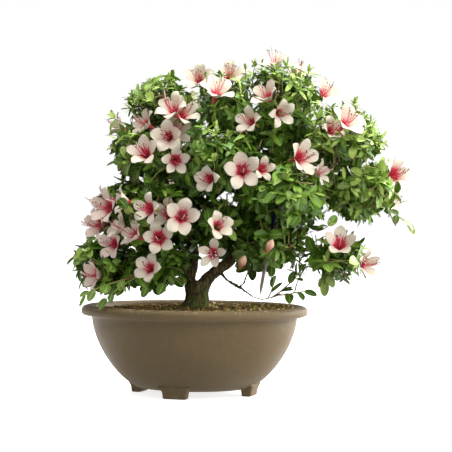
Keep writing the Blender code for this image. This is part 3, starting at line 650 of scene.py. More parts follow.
class BONSAI_OT_soil(bpy.types.Operator):
    """Lay the soil bed and strew it with clay grit, bark chips and moss crumbs"""

    bl_idname = "bonsai.soil"
    bl_label = "Soil"

    def execute(self, context):
        settings = context.scene.bonsai_pot
        rings = np.concatenate([np.linspace(1, BED_RADIUS, BED_RINGS), [BED_RADIUS - 1.4]])
        angles = np.linspace(0, 2 * math.pi, BED_SIDES + 1)
        points = []
        for ring, radius in enumerate(rings):
            for angle in angles[:-1].tolist() + [0.0]:
                x, y = radius * math.cos(angle), radius * math.sin(angle)
                points.append((x, y, bed_height(x, y) if ring < BED_RINGS else SKIRT_FOOT))
        rows, columns = np.mgrid[0:len(rings), 0:BED_SIDES + 1]
        ways = np.stack([np.cos(angles[columns]), np.sin(angles[columns])], -1)
        flat = 0.5 + 0.5 * ways * (rings / rings[-1])[rows][..., None]
        heap = Heap()
        heap.add((np.array(points), quads(len(rings), BED_SIDES + 1), flat.reshape(-1, 2)))
        heap.piece("soil_bed", [damp_soil(settings)], "bonsai_soil", "soil")

        picks = random.Random(11)
        grains = [rough_grain(picks, 1, 0.24) for _ in range(6)]
        heap = Heap()
        for _ in range(GRAINS):
            radius, angle = 135 * math.sqrt(picks.random()), picks.uniform(0, 2 * math.pi)
            x, y = radius * math.cos(angle), radius * math.sin(angle)
            size = picks.uniform(1.3, 2.9) * (1.25 if x > 10 else 1.0)
            if math.hypot(x, y) < ROOT_FLARE:
                continue
            spin = picks.uniform(0, 6.28)
            turn = Matrix.Rotation(spin, 3, (picks.random(), picks.random(), picks.random() + 0.1))
            squash = np.diag((1, picks.uniform(0.6, 1), picks.uniform(0.5, 0.9)))
            tint = picks.random() * (1.0 if x > 20 else 0.75)
            heap.add(picks.choice(grains), turn=np.array(turn) @ squash, size=size,
                     shift=(x, y, bed_height(x, y) + size * 0.25), tint=tint)
        for _ in range(CHIPS):
            radius, angle = 130 * math.sqrt(picks.uniform(0.05, 1)), picks.uniform(0, 2 * math.pi)
            x, y = radius * math.cos(angle), radius * math.sin(angle)
            turn = Matrix.Rotation(picks.uniform(0, 6.28), 3, "Z")
            turn = turn @ Matrix.Rotation(picks.uniform(-0.5, 0.5), 3, "X")
            squash = np.diag((picks.uniform(3, 6), picks.uniform(1.5, 3), 0.7))
            heap.add(picks.choice(grains), turn=np.array(turn) @ squash, shift=(x, y, bed_height(x, y) + 1.3),
                     tint=picks.choice((0.05, 0.15, 0.3, 0.62, 0.9)))
        heap.piece("soil_grit", [baked_clay_grit()], "bonsai_soil")
        return {"FINISHED"}


def rough_grain(picks, detail, rough):
    """A broken grain about 2 units across: points, faces and flat map."""
    ball = bmesh.new()
    bmesh.ops.create_icosphere(ball, subdivisions=detail, radius=1)
    offset = Vector((picks.random(), picks.random(), picks.random())) * 40
    for vertex in ball.verts:
        vertex.co *= 1 + rough * 2 * noise.noise(vertex.co * 1.4 + offset)
    points = np.array([vertex.co for vertex in ball.verts])
    faces = np.array([[vertex.index for vertex in face.verts] for face in ball.faces])
    ball.free()
    # Each triangle has its own spot on the flat map, so the corners are split.
    grid = math.ceil(math.sqrt(len(faces)))
    spots = np.stack([np.arange(len(faces)) % grid, np.arange(len(faces)) // grid], -1)
    flat = (spots[:, None, :] + np.array([(0.1, 0.1), (0.9, 0.1), (0.1, 0.9)])) / grid
    return points[faces.ravel()], np.arange(faces.size).reshape(-1, 3), flat.reshape(-1, 2)


# ---------------------------------------------------------------- wood


class BONSAI_OT_wood(bpy.types.Operator):
    """Grow the bark over the trunk and branches"""

    bl_idname = "bonsai.wood"
    bl_label = "Trunk and branches"

    def execute(self, context):
        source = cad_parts["trunk_and_branches"].data
        work = bmesh.new()
        work.from_mesh(source)
        bmesh.ops.remove_doubles(work, verts=work.verts, dist=1e-5)
        mesh = bpy.data.meshes.new("trunk")
        work.to_mesh(mesh)
        work.free()
        rough = bpy.data.objects.new("trunk_rough", mesh)
        context.scene.collection.objects.link(rough)
        skin_over = rough.modifiers.new("Skin", "REMESH")
        skin_over.mode, skin_over.voxel_size, skin_over.use_smooth_shade = "VOXEL", 0.0015, True
        soften = rough.modifiers.new("Soften", "SMOOTH")
        soften.factor, soften.iterations = 0.5, 3
        context.view_layer.update()
        graph = context.evaluated_depsgraph_get()
        mesh = bpy.data.meshes.new_from_object(rough.evaluated_get(graph))
        bpy.data.objects.remove(rough)
        points = np.zeros(len(mesh.vertices) * 3, np.float32)
        normals = np.zeros(len(mesh.vertices) * 3, np.float32)
        mesh.vertices.foreach_get("co", points)
        mesh.vertex_normals.foreach_get("vector", normals)
        points, normals = points.reshape(-1, 3), normals.reshape(-1, 3)
        shift = np.zeros(len(points))
        for number, point in enumerate(points):
            near = Vector(point) / MM
            plate = noise.fractal(Vector((near.x / 5, near.y / 5, near.z / 14)), 0.9, 2.0, 3)
            knob = noise.noise(near / 16)
            shift[number] = 0.9 * knob + 0.7 * plate
        fade = np.clip((points[:, 2] - 0.1) / 0.1, 0, 1)
        shift *= np.where(points[:, 2] < 0.2, 1.3, 1.3 - 0.8 * fade) * MM
        mesh.vertices.foreach_set("co", (points + normals * shift[:, None]).astype(np.float32).ravel())
        mesh.materials.clear()
        mesh.materials.append(old_bark(context.scene.bonsai_tree))
        mesh.update()
        settle("trunk_and_limbs", mesh, "bark", "trunk_and_branches")
        return {"FINISHED"}


# ---------------------------------------------------------------- flowers and buds


# A flower and a bud are drawn at this span and length, then sized.
DRAWN_SPAN, DRAWN_BUD = 52, 52
PETAL_ROWS, PETAL_COLUMNS = 13, 9
# The radius and height of the throat's edge, where the petals start, and how far out they are widest.
THROAT_RADIUS, THROAT_HEIGHT, WIDEST = 4.6, -13, 0.56
# The finishes of a flower, by number.
PETAL, TUBE, FILAMENT, ANTHER, STYLE, CALYX = range(6)


def flower_place(name):
    """Where a CAD flower's mouth is, its turn as a 3 by 3 array, and its span, from its own corners."""
    points = np.unique(np.round(skin(name)[0], 3), axis=0)
    middle = points.mean(axis=0)
    spread, ways = np.linalg.eigh(np.cov((points - middle).T))
    odd = 0 if spread[1] - spread[0] > spread[2] - spread[1] else 2
    axis = ways[:, odd]
    along = (points - middle) @ axis
    across = points - middle - along[:, None] * axis
    reach = np.linalg.norm(across, axis=1)
    if np.dot(reach - reach.mean(), along - along.mean()) < 0:
        axis, along = -axis, -along
    tips = reach > 0.93 * reach.max()
    size = reach.max() / (DRAWN_SPAN / 2)
    mouth = middle + axis * (along[tips].mean() - 3.75 * size)
    top = across[tips][np.argmax(across[tips][:, 2])]
    return mouth, facing(axis, unit(top)), DRAWN_SPAN * size


def petal_shape(width, reflex, wave, picks):
    """One petal from the throat out, pointing along +Y: points, faces and flat map."""
    phase, lean, notch = picks.uniform(0, 6.28), picks.uniform(-0.12, 0.12), picks.uniform(-0.6, 0.9)
    points, flat = [], []
    for row in range(PETAL_ROWS):
        t = 1 - (1 - row / (PETAL_ROWS - 1)) ** 1.25
        out = THROAT_RADIUS + 21 * t ** 1.15
        rise = THROAT_HEIGHT + 17 * (1 - (1 - t) ** 1.5) - reflex * max(0.0, t - 0.5) ** 2 * 10
        if t < WIDEST:
            half = 2.9 + (width / 2 - 2.9) * math.sin(math.pi / 2 * t / WIDEST) ** 1.1
        else:
            half = width / 2 * max(0.0, 1 - ((t - WIDEST) / (1 - WIDEST)) ** 1.9) ** 0.72
        half = max(half, 0.3)
        for column in range(PETAL_COLUMNS):
            s = 2 * column / (PETAL_COLUMNS - 1) - 1
            edge = wave * s * s * math.sin(9 * t + phase + 1.5 * s) * t
            dip = 0.10 * half * (s * s - 0.35)
            tip = notch * (1 - abs(s)) * max(0.0, t - 0.8) * 4
            points.append((s * half + lean * out * t, out - tip, rise + edge + dip))
            flat.append((0.02 + 0.96 * t, 0.5 + 0.48 * s))
    return np.array(points), quads(PETAL_ROWS, PETAL_COLUMNS), np.array(flat)


def outer_sheet(points, thick=0.4):
    """The outside of a petal: the same grid moved out by the petal's thickness and turned over."""
    grid = points.reshape(PETAL_ROWS, -1, 3)
    normal = unit(np.cross(np.gradient(grid, axis=1), np.gradient(grid, axis=0)))
    normal *= np.sign(normal[..., 2:3].mean())
    return (grid - thick * normal).reshape(-1, 3), quads(PETAL_ROWS, PETAL_COLUMNS)[:, ::-1]


def anther_shape():
    """A small grain on the end of a stamen: points, faces and flat map."""
    path = [(0, 0, z) for z in (-1.25, -0.95, -0.2, 0.6, 1.1, 1.25)]
    return tube(path, (0.1, 0.55, 0.75, 0.65, 0.4, 0.08), 6)


def grow_flower(heap, mouth, turn, span, picks, settings):
    """Adds one open flower: petals in two sheets, tube, stamens with their anthers, style and calyx."""
    size = span / DRAWN_SPAN
    # Flowers at the crown's left edge get a paler, pinker tone and smaller eyes: partly blush, partly painted
    # glare.
    edge = min(max((-60 - mouth[0]) / 60, 0.0), 1.0)
    high = min(max((mouth[2] - 315) / 70, 0.0), 1.0)
    tint = picks.uniform(0, 0.2) + 0.6 * edge
    eye = picks.uniform(0.17, 0.29) - 0.05 * edge - 0.12 * high
    width = settings.petal_width / MM * picks.uniform(0.86, 1.1)
    reflex, wave, cup = picks.uniform(0.2, 2.2), picks.uniform(0.5, 1.3), picks.uniform(-0.04, 0.20)
    whole = dict(turn=turn, shift=mouth, size=size, tint=tint)
    for number in range(5):
        angle = number * 2 * math.pi / 5 + picks.uniform(-0.07, 0.07)
        nod = cup + picks.uniform(-0.13, 0.13)
        wide, curl = width * picks.uniform(0.92, 1.06), reflex + picks.uniform(-0.4, 0.4)
        points, faces, flat = petal_shape(wide, curl, wave, picks)
        tilt = np.array(Matrix.Rotation(nod, 3, "X"))
        spin = np.array(Matrix.Rotation(angle, 3, "Z"))
        hinge = np.array((0, THROAT_RADIUS, THROAT_HEIGHT))
        points = ((points - hinge) @ tilt.T + hinge) @ spin.T
        upper = (1.0, 0.45, 0.0, 0.0, 0.45)[number]
        heap.add((points, faces, flat), PETAL, upper=upper, eye=eye + 0.1 * upper - 0.04, **whole)
        heap.add((*outer_sheet(points), flat), PETAL, upper=0.0, eye=0.02, **whole)
    heights = (-28, -25, -21, -17, -14.5, -12.4)
    heap.add(tube([(0, 0, z) for z in heights], (1.5, 1.8, 2.2, 2.9, 3.9, 4.9), 15), TUBE, **whole)
    count = picks.choice((5, 5, 6, 7))
    for number in range(count):
        angle = math.radians(200 + 140 * number / (count - 1) + picks.uniform(-9, 9))
        spread = picks.uniform(5, 10)
        x, y = math.cos(angle) * spread, math.sin(angle) * spread * 0.75 + picks.uniform(1, 6)
        end = np.array((x, y + 2.5, picks.uniform(9, 17)))
        path = bend([(x * 0.05, -0.8, -20), (x * 0.2, -1.6, -8), (x * 0.55, y * 0.6 - 1.5, 3), end], 3)
        heap.add(tube(path, np.linspace(0.42, 0.3, len(path)), 5), FILAMENT, **whole)
        lie = turn @ facing((x * 0.4, 1.0, picks.uniform(0.2, 1)))
        heap.add(anther_shape(), ANTHER, turn=lie, shift=mouth + turn @ end * size, size=size)
    x, y = picks.uniform(-3, 3), picks.uniform(-3, 4)
    path = bend([(0, -0.5, -18), (x * 0.3, -2.2, -4), (x * 0.7, y * 0.4 - 2, 9), (x, y + 2, 22)], 3)
    radii = [0.5] * (len(path) - 3) + [0.45, 0.8, 0.7]
    heap.add(tube(path, radii, 5), STYLE, **whole)
    heights = (-36, -31.5, -29.5, -27.5, -25.5)
    heap.add(tube([(0, 0, z) for z in heights], (0.9, 1.0, 2.3, 2.8, 2.3), 8), CALYX, **whole)


def flower_finishes(settings):
    """The finishes of a flower, in the order of their numbers."""
    return [
        azalea_petal(settings),
        soft_tissue("Azalea flower tube, fresh", "#cf605a", "#c22a48", 0.55, 3),
        soft_tissue("Azalea filament", "#cf4a62", "#c43355", 0.5, 2),
        soft_tissue("Azalea anther, ripe", "#3a1a20", "#57262c", 0.7, 1),
        soft_tissue("Azalea style", "#d98c97", "#ece0cf", 0.45, 3),
        soft_tissue("Azalea calyx, hairy", "#5d7a2a", "#8aa24a", 0.7, 1.5),
    ]


# Flowers on top, at the sides and behind, with no CAD solid: where, the way they face, span.
MORE_FLOWERS = (
    ((1, -6, 434), (-0.2, -0.9, 0.5), 46), ((46, -4, 440), (0.1, -0.8, 0.6), 48),
    ((178, 0, 416), (0.5, -0.7, 0.5), 46), ((-122, -58, 254), (-0.7, -0.7, 0.15), 54),
    ((-134, -44, 230), (-0.8, -0.6, 0.0), 50), ((-112, -70, 205), (-0.6, -0.8, 0.1), 46),
    ((243, 44, 346), (0.8, 0.5, 0.6), 46), ((-58, 84, 360), (-0.4, 0.9, 0.5), 50),
    ((-8, 96, 402), (0.1, 1.0, 0.6), 50), ((52, 92, 396), (0.1, 1.0, 0.3), 48),
    ((120, 96, 408), (-0.1, 1.0, 0.5), 50), ((188, 110, 356), (0.3, 1.0, 0.2), 52),
    ((226, 100, 300), (0.5, 0.9, 0.0), 46), ((150, 142, 290), (0.1, 1.0, 0.0), 50),
    ((84, 148, 262), (-0.1, 1.0, -0.1), 52), ((22, 142, 320), (0.0, 1.0, 0.1), 52),
    ((-34, 136, 286), (-0.2, 1.0, 0.1), 50), ((-98, 118, 268), (-0.5, 0.9, 0.0), 46),
    ((-62, 144, 236), (-0.2, 1.0, -0.1), 46), ((-124, 62, 232), (-0.9, 0.4, 0.0), 44),
    ((-132, 84, 184), (-0.7, 0.7, 0.0), 44), ((-50, 100, 190), (0.0, 1.0, -0.1), 44),
    ((100, 112, 216), (0.1, 1.0, -0.1), 46), ((206, 78, 204), (0.4, 0.9, 0.0), 44),
    ((64, 136, 366), (0.0, 1.0, 0.4), 48), ((-100, 60, 322), (-0.8, 0.6, 0.1), 46),
)


class BONSAI_OT_flowers(bpy.types.Operator):
    """Open a flower in the place of each CAD flower, and more on top, at the sides and behind"""

    bl_idname = "bonsai.flowers"
    bl_label = "Flowers"

    def execute(self, context):
        settings = context.scene.bonsai_flower
        finishes = flower_finishes(settings)
        for number, name in enumerate(FLOWER_NODES):
            picks = random.Random(400 + number)
            mouth, turn, span = flower_place(name)
            heap = Heap()
            grow_flower(heap, mouth, turn, span, picks, settings)
            heap.piece(name.replace("flower", "azalea_flower"), finishes, "petal", name)
        for number, (mouth, way, span) in enumerate(MORE_FLOWERS):
            picks = random.Random(900 + number)
            heap = Heap()
            grow_flower(heap, np.array(mouth, float), facing(way), span, picks, settings)
            heap.piece(f"azalea_flower_back_{number + 1:02d}", finishes, "petal")
        return {"FINISHED"}


def bud_shape(seed):
    """A furled bud, petals wound round each other, pointing along +Z: points, faces and flat map."""
    rows, columns = 18, 31
    points, flat = [], []
    for row in range(rows):
        t = row / (rows - 1)
        z = -26 + 52 * t
        radius = 1.6 + 9.5 * math.sin(math.pi * min(1.0, t ** 1.35)) ** 1.1 + 1.6 * (1 - t)
        radius = max(radius * (1 if t < 0.97 else 0.5), 0.3)
        for column in range(columns):
            angle = 2 * math.pi * column / (columns - 1)
            fold = 1 + 0.13 * abs(math.sin(2.5 * (angle + 2.2 * t) + seed)) * math.sin(math.pi * t) - 0.06
            points.append((radius * fold * math.cos(angle), radius * fold * math.sin(angle), z))
            flat.append((column / (columns - 1), t))
    return np.array(points), quads(rows, columns), np.array(flat)


class BONSAI_OT_buds(bpy.types.Operator):
    """Furl the large buds that hang below the crown"""

    bl_idname = "bonsai.buds"
    bl_label = "Buds"

    def execute(self, context):
        coral = soft_tissue("Azalea bud, furled", "#c2303a", "#ecc9a4", 0.55, 4)
        green = soft_tissue("Azalea bud calyx", "#5d7a2a", "#8aa24a", 0.7, 1.5)
        for number, name in enumerate(sorted(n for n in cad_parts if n.startswith("bud_"))):
            points = np.unique(np.round(skin(name)[0], 3), axis=0)
            middle = points.mean(axis=0)
            axis = np.linalg.eigh(np.cov((points - middle).T))[1][:, 2]
            axis = axis if axis[2] - axis[1] > 0 else -axis
            size = np.ptp((points - middle) @ axis) / DRAWN_BUD
            turn = facing(axis)
            heap = Heap()
            heap.add(bud_shape(number * 1.3), 0, turn=turn, shift=middle, size=size)
            calyx = tube([(0, 0, z) for z in (-33, -28, -26, -23.5, -20)], (1, 1.1, 2.6, 3.6, 3.9), 10)
            heap.add(calyx, 1, turn=turn, shift=middle, size=size)
            heap.piece(name.replace("bud", "azalea_bud"), [coral, green], "bud", name)
        return {"FINISHED"}


# ---------------------------------------------------------------- leaves


def leaf_shape(length, width, fold, curl, twist):
    """One leaf along +X with its upper face to +Z: points, faces and flat map."""
    points, flat = [], []
    for t in (0.0, 0.1, 0.26, 0.44, 0.62, 0.8, 0.93, 1.0):
        middle = t ** 0.93
        half = width / 2 * max(4 * middle * (1 - middle), 0.005) ** 0.56
        x = length * (t - 0.12 * abs(curl) * t * t)
        z = length * (0.10 * t - curl * 0.28 * t * t)
        turn = twist * t
        for s in (-1, -0.5, 0, 0.5, 1):
            y, up = s * half, fold * half * (abs(s) - 0.25 * s * s)
            cosine, sine = math.cos(turn), math.sin(turn)
            points.append((x, y * cosine - up * sine, z + y * sine + up * cosine))
            flat.append((0.02 + 0.96 * t, 0.5 + 0.48 * s))
    return np.array(points), quads(8, 5), np.array(flat)


# A leaf's furthest reach from its foot, and the finishes of a shoot, by number.
LEAF_REACH = 24
LEAF, TWIG = 0, 1


class Shoots:
    """Leafy shoots for one piece, kept clear of the open flowers and the label's blue head."""

    def __init__(self, settings, seed, flowers):
        self.heap, self.picks, self.flowers = Heap(), random.Random(seed), flowers
        corner = (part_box("plant_label")[1] - AXIS) / MM
        self.head = np.array((corner.x - 5, corner.y, corner.z - 24))
        length, width = settings.leaf_length / MM, settings.leaf_width / MM
        bends = ((0.30, 0.5, 0.2), (0.16, 0.9, -0.3), (0.42, 0.2, 0.1), (0.22, 1.3, 0.3), (0.36, 0.7, -0.1))
        self.broad = [leaf_shape(length, width, *one) for one in bends]
        self.slim = [leaf_shape(length, width * 0.5, *one) for one in bends]

    def clear(self, points):
        """Whether no point stands in front of a flower's petals or the label's blue head."""
        if (np.abs(points - self.head) < (5.5, 999, 11)).all(axis=1).any() and points[0, 1] < self.head[1]:
            return False
        for mouth, turn, span in self.flowers:
            off = points - mouth
            along = off @ turn[:, 2]
            wide = np.linalg.norm(off - along[:, None] * turn[:, 2], axis=1)
            if ((wide < 0.46 * span) & (along > -5 - 0.1 * wide) & (along < 45)).any():
                return False
        return True

    def leaf(self, root, way, up, size, youth, tint, slim):
        """One leaf, as what the heap takes, or nothing if it would cross a flower."""
        way = unit(way)
        side = unit(np.cross(up, way))
        basis = np.stack([way, side, np.cross(way, side)], axis=1)
        reach = LEAF_REACH * size
        if not self.clear(np.array([root, root + way * reach * 0.5, root + way * reach])):
            return []
        kinds = self.slim if self.picks.random() < slim else self.broad
        marks = dict(turn=basis, shift=root, size=size, youth=youth, tint=min(tint, 1.0))
        return [(self.picks.choice(kinds), marks)]

    def rosette(self, tip, axis, grown, young, lime=0.0, size=1.0, shade=1.0, slim=0.2):
        """Adds a whorl of leaves at a shoot's tip with the twig that bears it, or nothing if few fit."""
        picks, axis = self.picks, unit(axis)
        side = unit(np.cross(axis, (0.3, 0.9, 0.2)))
        other = np.cross(axis, side)
        angle = picks.uniform(0, 6.28)
        leaves = []
        for number in range(grown + young):
            new = number >= grown
            angle += 2.4 + picks.uniform(-0.25, 0.25)
            spread = math.radians(picks.uniform(18, 46) if new else picks.uniform(58, 100))
            round_axis = math.cos(angle) * side + math.sin(angle) * other
            way = math.cos(spread) * axis + math.sin(spread) * round_axis
            way = unit(way + np.array((0, 0, 0.08 if new else -0.05)))
            back = 0 if new else picks.uniform(0, 9) * (number % 3) / 2
            up = unit(axis * 0.9 + np.array((0, 0, 0.5)) + np.array([picks.gauss(0, 0.22) for _ in range(3)]))
            scale = size * (picks.uniform(0.45, 0.72) if new else picks.uniform(0.78, 1.12))
            youth = min(1.0, lime * picks.uniform(0.5, 1.2)) if new else lime * picks.uniform(0, 0.35)
            # The leaf's tint is a random share of the shade level given for its place, which is painted light
            # and painted shade.
            tint = shade * picks.random() ** 0.9
            leaves += self.leaf(tip - axis * back, way, up, scale, youth, tint, max(slim, 0.7 * new))
        if len(leaves) < 3:
            return
        for shape, marks in leaves:
            self.heap.add(shape, LEAF, **marks)
        start = tip - axis * picks.uniform(20, 30)
        middle = (start + tip) / 2 + np.array([picks.gauss(0, 1.6) for _ in range(3)])
        path = bend([start, middle, tip + axis], 2)
        self.heap.add(tube(path, np.linspace(1.0, 0.45, len(path)), 5), TWIG)

    def spray(self, path, count, size, lime, shade):
        """Adds leaves by turns along the outer part of a twig, drooping, with one at its end."""
        picks, path = self.picks, bend(path, 8)
        for number in range(count):
            at = int((0.25 + 0.75 * number / (count - 1)) * (len(path) - 1))
            along = unit(path[at] - path[at - 1])
            side = np.cross(along, (0.2, -0.3, 1.0)) * (1 if number % 2 else -1)
            last = number == count - 1
            way = along * (1.0 if last else 0.45) + side * (0.1 if last else 0.8)
            way = way + np.array([picks.gauss(0, 0.22) for _ in range(3)]) + np.array((0, 0, -0.22))
            up = np.array((picks.gauss(0, 0.3), -0.75 + picks.gauss(0, 0.3), 0.8))
            scale = size * picks.uniform(0.7, 1.05)
            youth, tint = lime * picks.random(), shade * picks.random()
            for shape, marks in self.leaf(path[at], way, up, scale, youth, tint, slim=0.15):
                self.heap.add(shape, LEAF, **marks)

    def twig(self, path, thick, thin):
        """Adds a bare twig, tapering from thick to thin."""
        path = bend(path, 5)
        self.heap.add(tube(path, np.linspace(thick, thin, len(path)), 7), TWIG)


def spread_over(points, triangles, spacing, picks):
    """Spots on a skin no nearer each other than the spacing, each with the skin's outward normal."""
    corners = points[triangles]
    normals = np.cross(corners[:, 1] - corners[:, 0], corners[:, 2] - corners[:, 0])
    areas = np.linalg.norm(normals, axis=1)
    normals = unit(normals)
    tries = int(areas.sum() / 2 / spacing ** 2 * 5)
    taken = np.zeros((0, 3))
    spots = []
    for which in picks.choice(len(areas), tries, p=areas / areas.sum()):
        a, b = picks.random(2)
        a, b = (1 - a, 1 - b) if a + b > 1 else (a, b)
        corner = corners[which]
        spot = corner[0] + a * (corner[1] - corner[0]) + b * (corner[2] - corner[0])
        if len(taken) and np.min(((taken - spot) ** 2).sum(1)) < spacing ** 2:
            continue
        taken = np.vstack([taken, spot])
        spots.append((spot, normals[which]))
    return spots


def sunlit(spot):
    """How far out in the crown a spot is: 0 in its middle and low front, 1 at its top and sides, where the
    leaves get painted light.
    """
    return min(max(math.hypot((spot[0] - 45) / 190, (spot[2] - 215) / 235) * 1.6 - 0.55, 0.0), 1.0)


def to_right(spot):
    """How far to the right of the crown a spot is: 0 up to its middle, 1 at its right side."""
    return min(max((spot[0] - 90) / 120, 0.0), 1.0)


def slimness(spot):
    """The share of slim leaves in a shoot: few low in the crown, most at its top and many at its right."""
    return min(max((spot[2] - 240) / 120, 0.7 * to_right(spot), 0.1), 0.95)


# Bright young shoots that stand out of the leaves, all fully lime: tip and way.
LIME_SHOOTS = (
    ((24, -130, 314), (0.1, -0.7, 0.7)), ((38, -90, 334), (-0.2, -0.6, 0.8)),
    ((49, -112, 318), (0.3, -0.8, 0.5)), ((-42, -112, 313), (-0.2, -0.8, 0.5)),
    ((104, -60, 352), (0.1, -0.5, 0.9)), ((106, -110, 312), (0.2, -0.8, 0.6)),
    ((162, -70, 306), (0.5, -0.7, 0.5)), ((-73, -120, 210), (-0.3, -0.8, 0.4)),
    ((178, -66, 232), (0.6, -0.7, 0.3)), ((78, -30, 446), (0.1, -0.2, 1.0)),
    ((88, -20, 452), (0.3, -0.2, 1.0)), ((66, -36, 440), (-0.2, -0.4, 1.0)),
    ((36, -80, 432), (-0.2, -0.4, 1.0)), ((150, -50, 436), (0.4, -0.3, 1.0)),
    ((212, -40, 396), (0.7, -0.4, 0.7)), ((-60, -60, 420), (-0.5, -0.4, 0.8)),
    ((-108, -60, 372), (-0.8, -0.4, 0.5)),
)

# Green shoots deep in the crown, where two clumps meet.
DEEP_SHOOTS = (
    (98, -8, 350), (110, 6, 342), (122, -6, 352), (134, 4, 344), (116, -16, 364), (102, 12, 362),
    (128, 14, 336), (141, -10, 358), (92, 4, 338), (147, 6, 346), (108, 22, 352), (126, 26, 350),
    (84, -14, 352), (136, -20, 338), (118, -24, 342), (28, 0, 376), (38, 6, 382), (48, -4, 374),
    (34, -12, 384), (56, 4, 380), (42, 14, 370), (22, 10, 384), (-46, 0, 306), (-38, 8, 312),
    (-54, 6, 300), (-18, 10, 222), (-10, 22, 228), (-26, 26, 216), (-16, 34, 212),
)

# Low shoots below the canopy: the twig's route, its thickness, its leaves and how lime they are.
LOW_SHOOTS = (
    (((105, -28, 134), (116, -30, 142), (127, -33, 152), (136, -36, 161), (141, -37, 168)), 1.1, 6, 0.1),
    (((112, -28, 137), (124, -32, 138), (137, -36, 141), (148, -38, 143)), 1.1, 5, 0.1),
    (((248, -10, 266), (262, -12, 256), (276, -14, 246), (289, -14, 236)), 1.0, 7, 0.9),
    (((100, -28, 133), (104, -31, 143), (106, -33, 152), (104, -34, 162)), 1.0, 4, 0.1),
    (((183, -20, 200), (181, -30, 185), (178, -36, 170), (176, -40, 157)), 1.0, 7, 0.7),
    (((96, -30, 200), (128, -34, 191), (148, -36, 178), (170, -38, 173)), 1.4, 3, 0.3),
    (((70, -28, 162), (72, -30, 168), (76, -33, 174)), 1.0, 4, 0.2),
    (((-20, -20, 190), (-50, -60, 176), (-82, -86, 158), (-100, -96, 146), (-114, -100, 134)), 1.4, 8, 0.15),
    (((-70, -78, 164), (-100, -90, 156), (-126, -94, 147), (-142, -96, 138)), 1.2, 7, 0.25),
    (((-40, -50, 176), (-52, -72, 164), (-62, -84, 150)), 1.0, 5, 0.1),
    (((-20, -40, 180), (-32, -66, 168), (-40, -80, 154)), 0.9, 5, 0.1),
    (((-60, -60, 176), (-84, -80, 162), (-92, -88, 148)), 1.0, 5, 0.1),
)


# How much wider the shoots stand in the thin clumps.
THIN = {
    "foliage_low_right": 1.7, "foliage_low_middle": 1.35, "foliage_low_middle_left": 1.3,
    "foliage_low_left": 1.25, "foliage_middle": 1.15, "foliage_heart": 1.15, "foliage_left": 1.15,
}
# The clumps whose bare twigs show between the leaves.
TWIGGY = (
    "foliage_right", "foliage_shoulder_right", "foliage_middle", "foliage_low_middle", "foliage_low_right",
    "foliage_heart",
)


def outer_shoots(shoots, spots, others, thin, picks):
    """Covers a clump's skin with leafy shoots, fewer where it meets another clump or dips."""
    for spot, normal in spots:
        inner = any(tree.find_nearest(spot.tolist(), 7.0)[0] is not None for tree in others)
        swell = noise.noise(Vector(spot) / 30)
        under = thin > 1.5 and normal[2] < -0.3 and picks.random() < 0.6
        if under or (inner and picks.random() < 0.72) or (swell < -0.12 and picks.random() < 0.6):
            continue
        hang = 0.5 * max(0.0, -normal[2])
        level = unit(np.array((normal[0], normal[1], 0.15)))
        lift = np.array((0, 0, 0.42 * (1 - hang * 1.4)))
        axis = unit(normal * 0.8 + lift + level * hang + picks.normal(0, 0.24, 3))
        # Leaves facing up, out at the crown's top and sides, and on its right get a higher shade level:
        # painted light from above and from the right. Lime shoots come oftener there too: young growth at the
        # crown's edge, and partly a painted glow of lit leaves.
        sunny, outer = 0.5 + 0.5 * normal[2], sunlit(spot)
        lime = picks.random() < 0.06 + 0.08 * sunny + 0.20 * outer
        depth = picks.uniform(5, 15) - 14 * max(0.0, swell)
        shoots.rosette(
            spot - normal * depth, axis,
            grown=int(picks.integers(4, 7)), young=int(picks.integers(1, 4)), size=1.0 + 0.2 * (thin - 1),
            lime=float(picks.uniform(0.5, 1)) if lime else float(picks.uniform(0, 0.25)),
            shade=0.44 + 0.32 * sunny + 0.65 * outer + 0.5 * to_right(spot), slim=slimness(spot))


def inner_shoots(shoots, spots, picks):
    """Adds shoots well under a clump's skin, their leaves painted dark as painted shade, which fill the gaps
    between the outer ones.
    """
    for spot, normal in spots:
        tip = spot - normal * picks.uniform(24, 34)
        way = normal + picks.normal(0, 0.4, 3)
        shoots.rosette(tip, way, grown=5, young=1, shade=0.25, slim=slimness(spot))


def bare_twigs(shoots, spots, count, picks):
    """Adds twigs from shoot to shoot, just under the leaves."""
    for _ in range(count):
        start, normal = spots[picks.integers(len(spots))]
        near = [spot for spot, _ in spots if 18 < math.dist(spot, start) < 60]
        end = near[picks.integers(len(near))]
        ends = np.array([start, end]) - normal * picks.uniform(3, 12)
        shoots.twig([ends[0], ends.mean(axis=0) + picks.normal(0, 5, 3), ends[1]], 0.9, 0.5)


def inner_branches(shoots, points, picks):
    """Adds thicker twigs from a clump's middle out to its skin."""
    centre = points.mean(axis=0)
    for _ in range(7):
        target = points[picks.integers(len(points))]
        bow = (centre + target) / 2 + picks.normal(0, 6, 3)
        shoots.twig([centre, bow, centre + (target - centre) * 0.82], 1.9, 0.8)


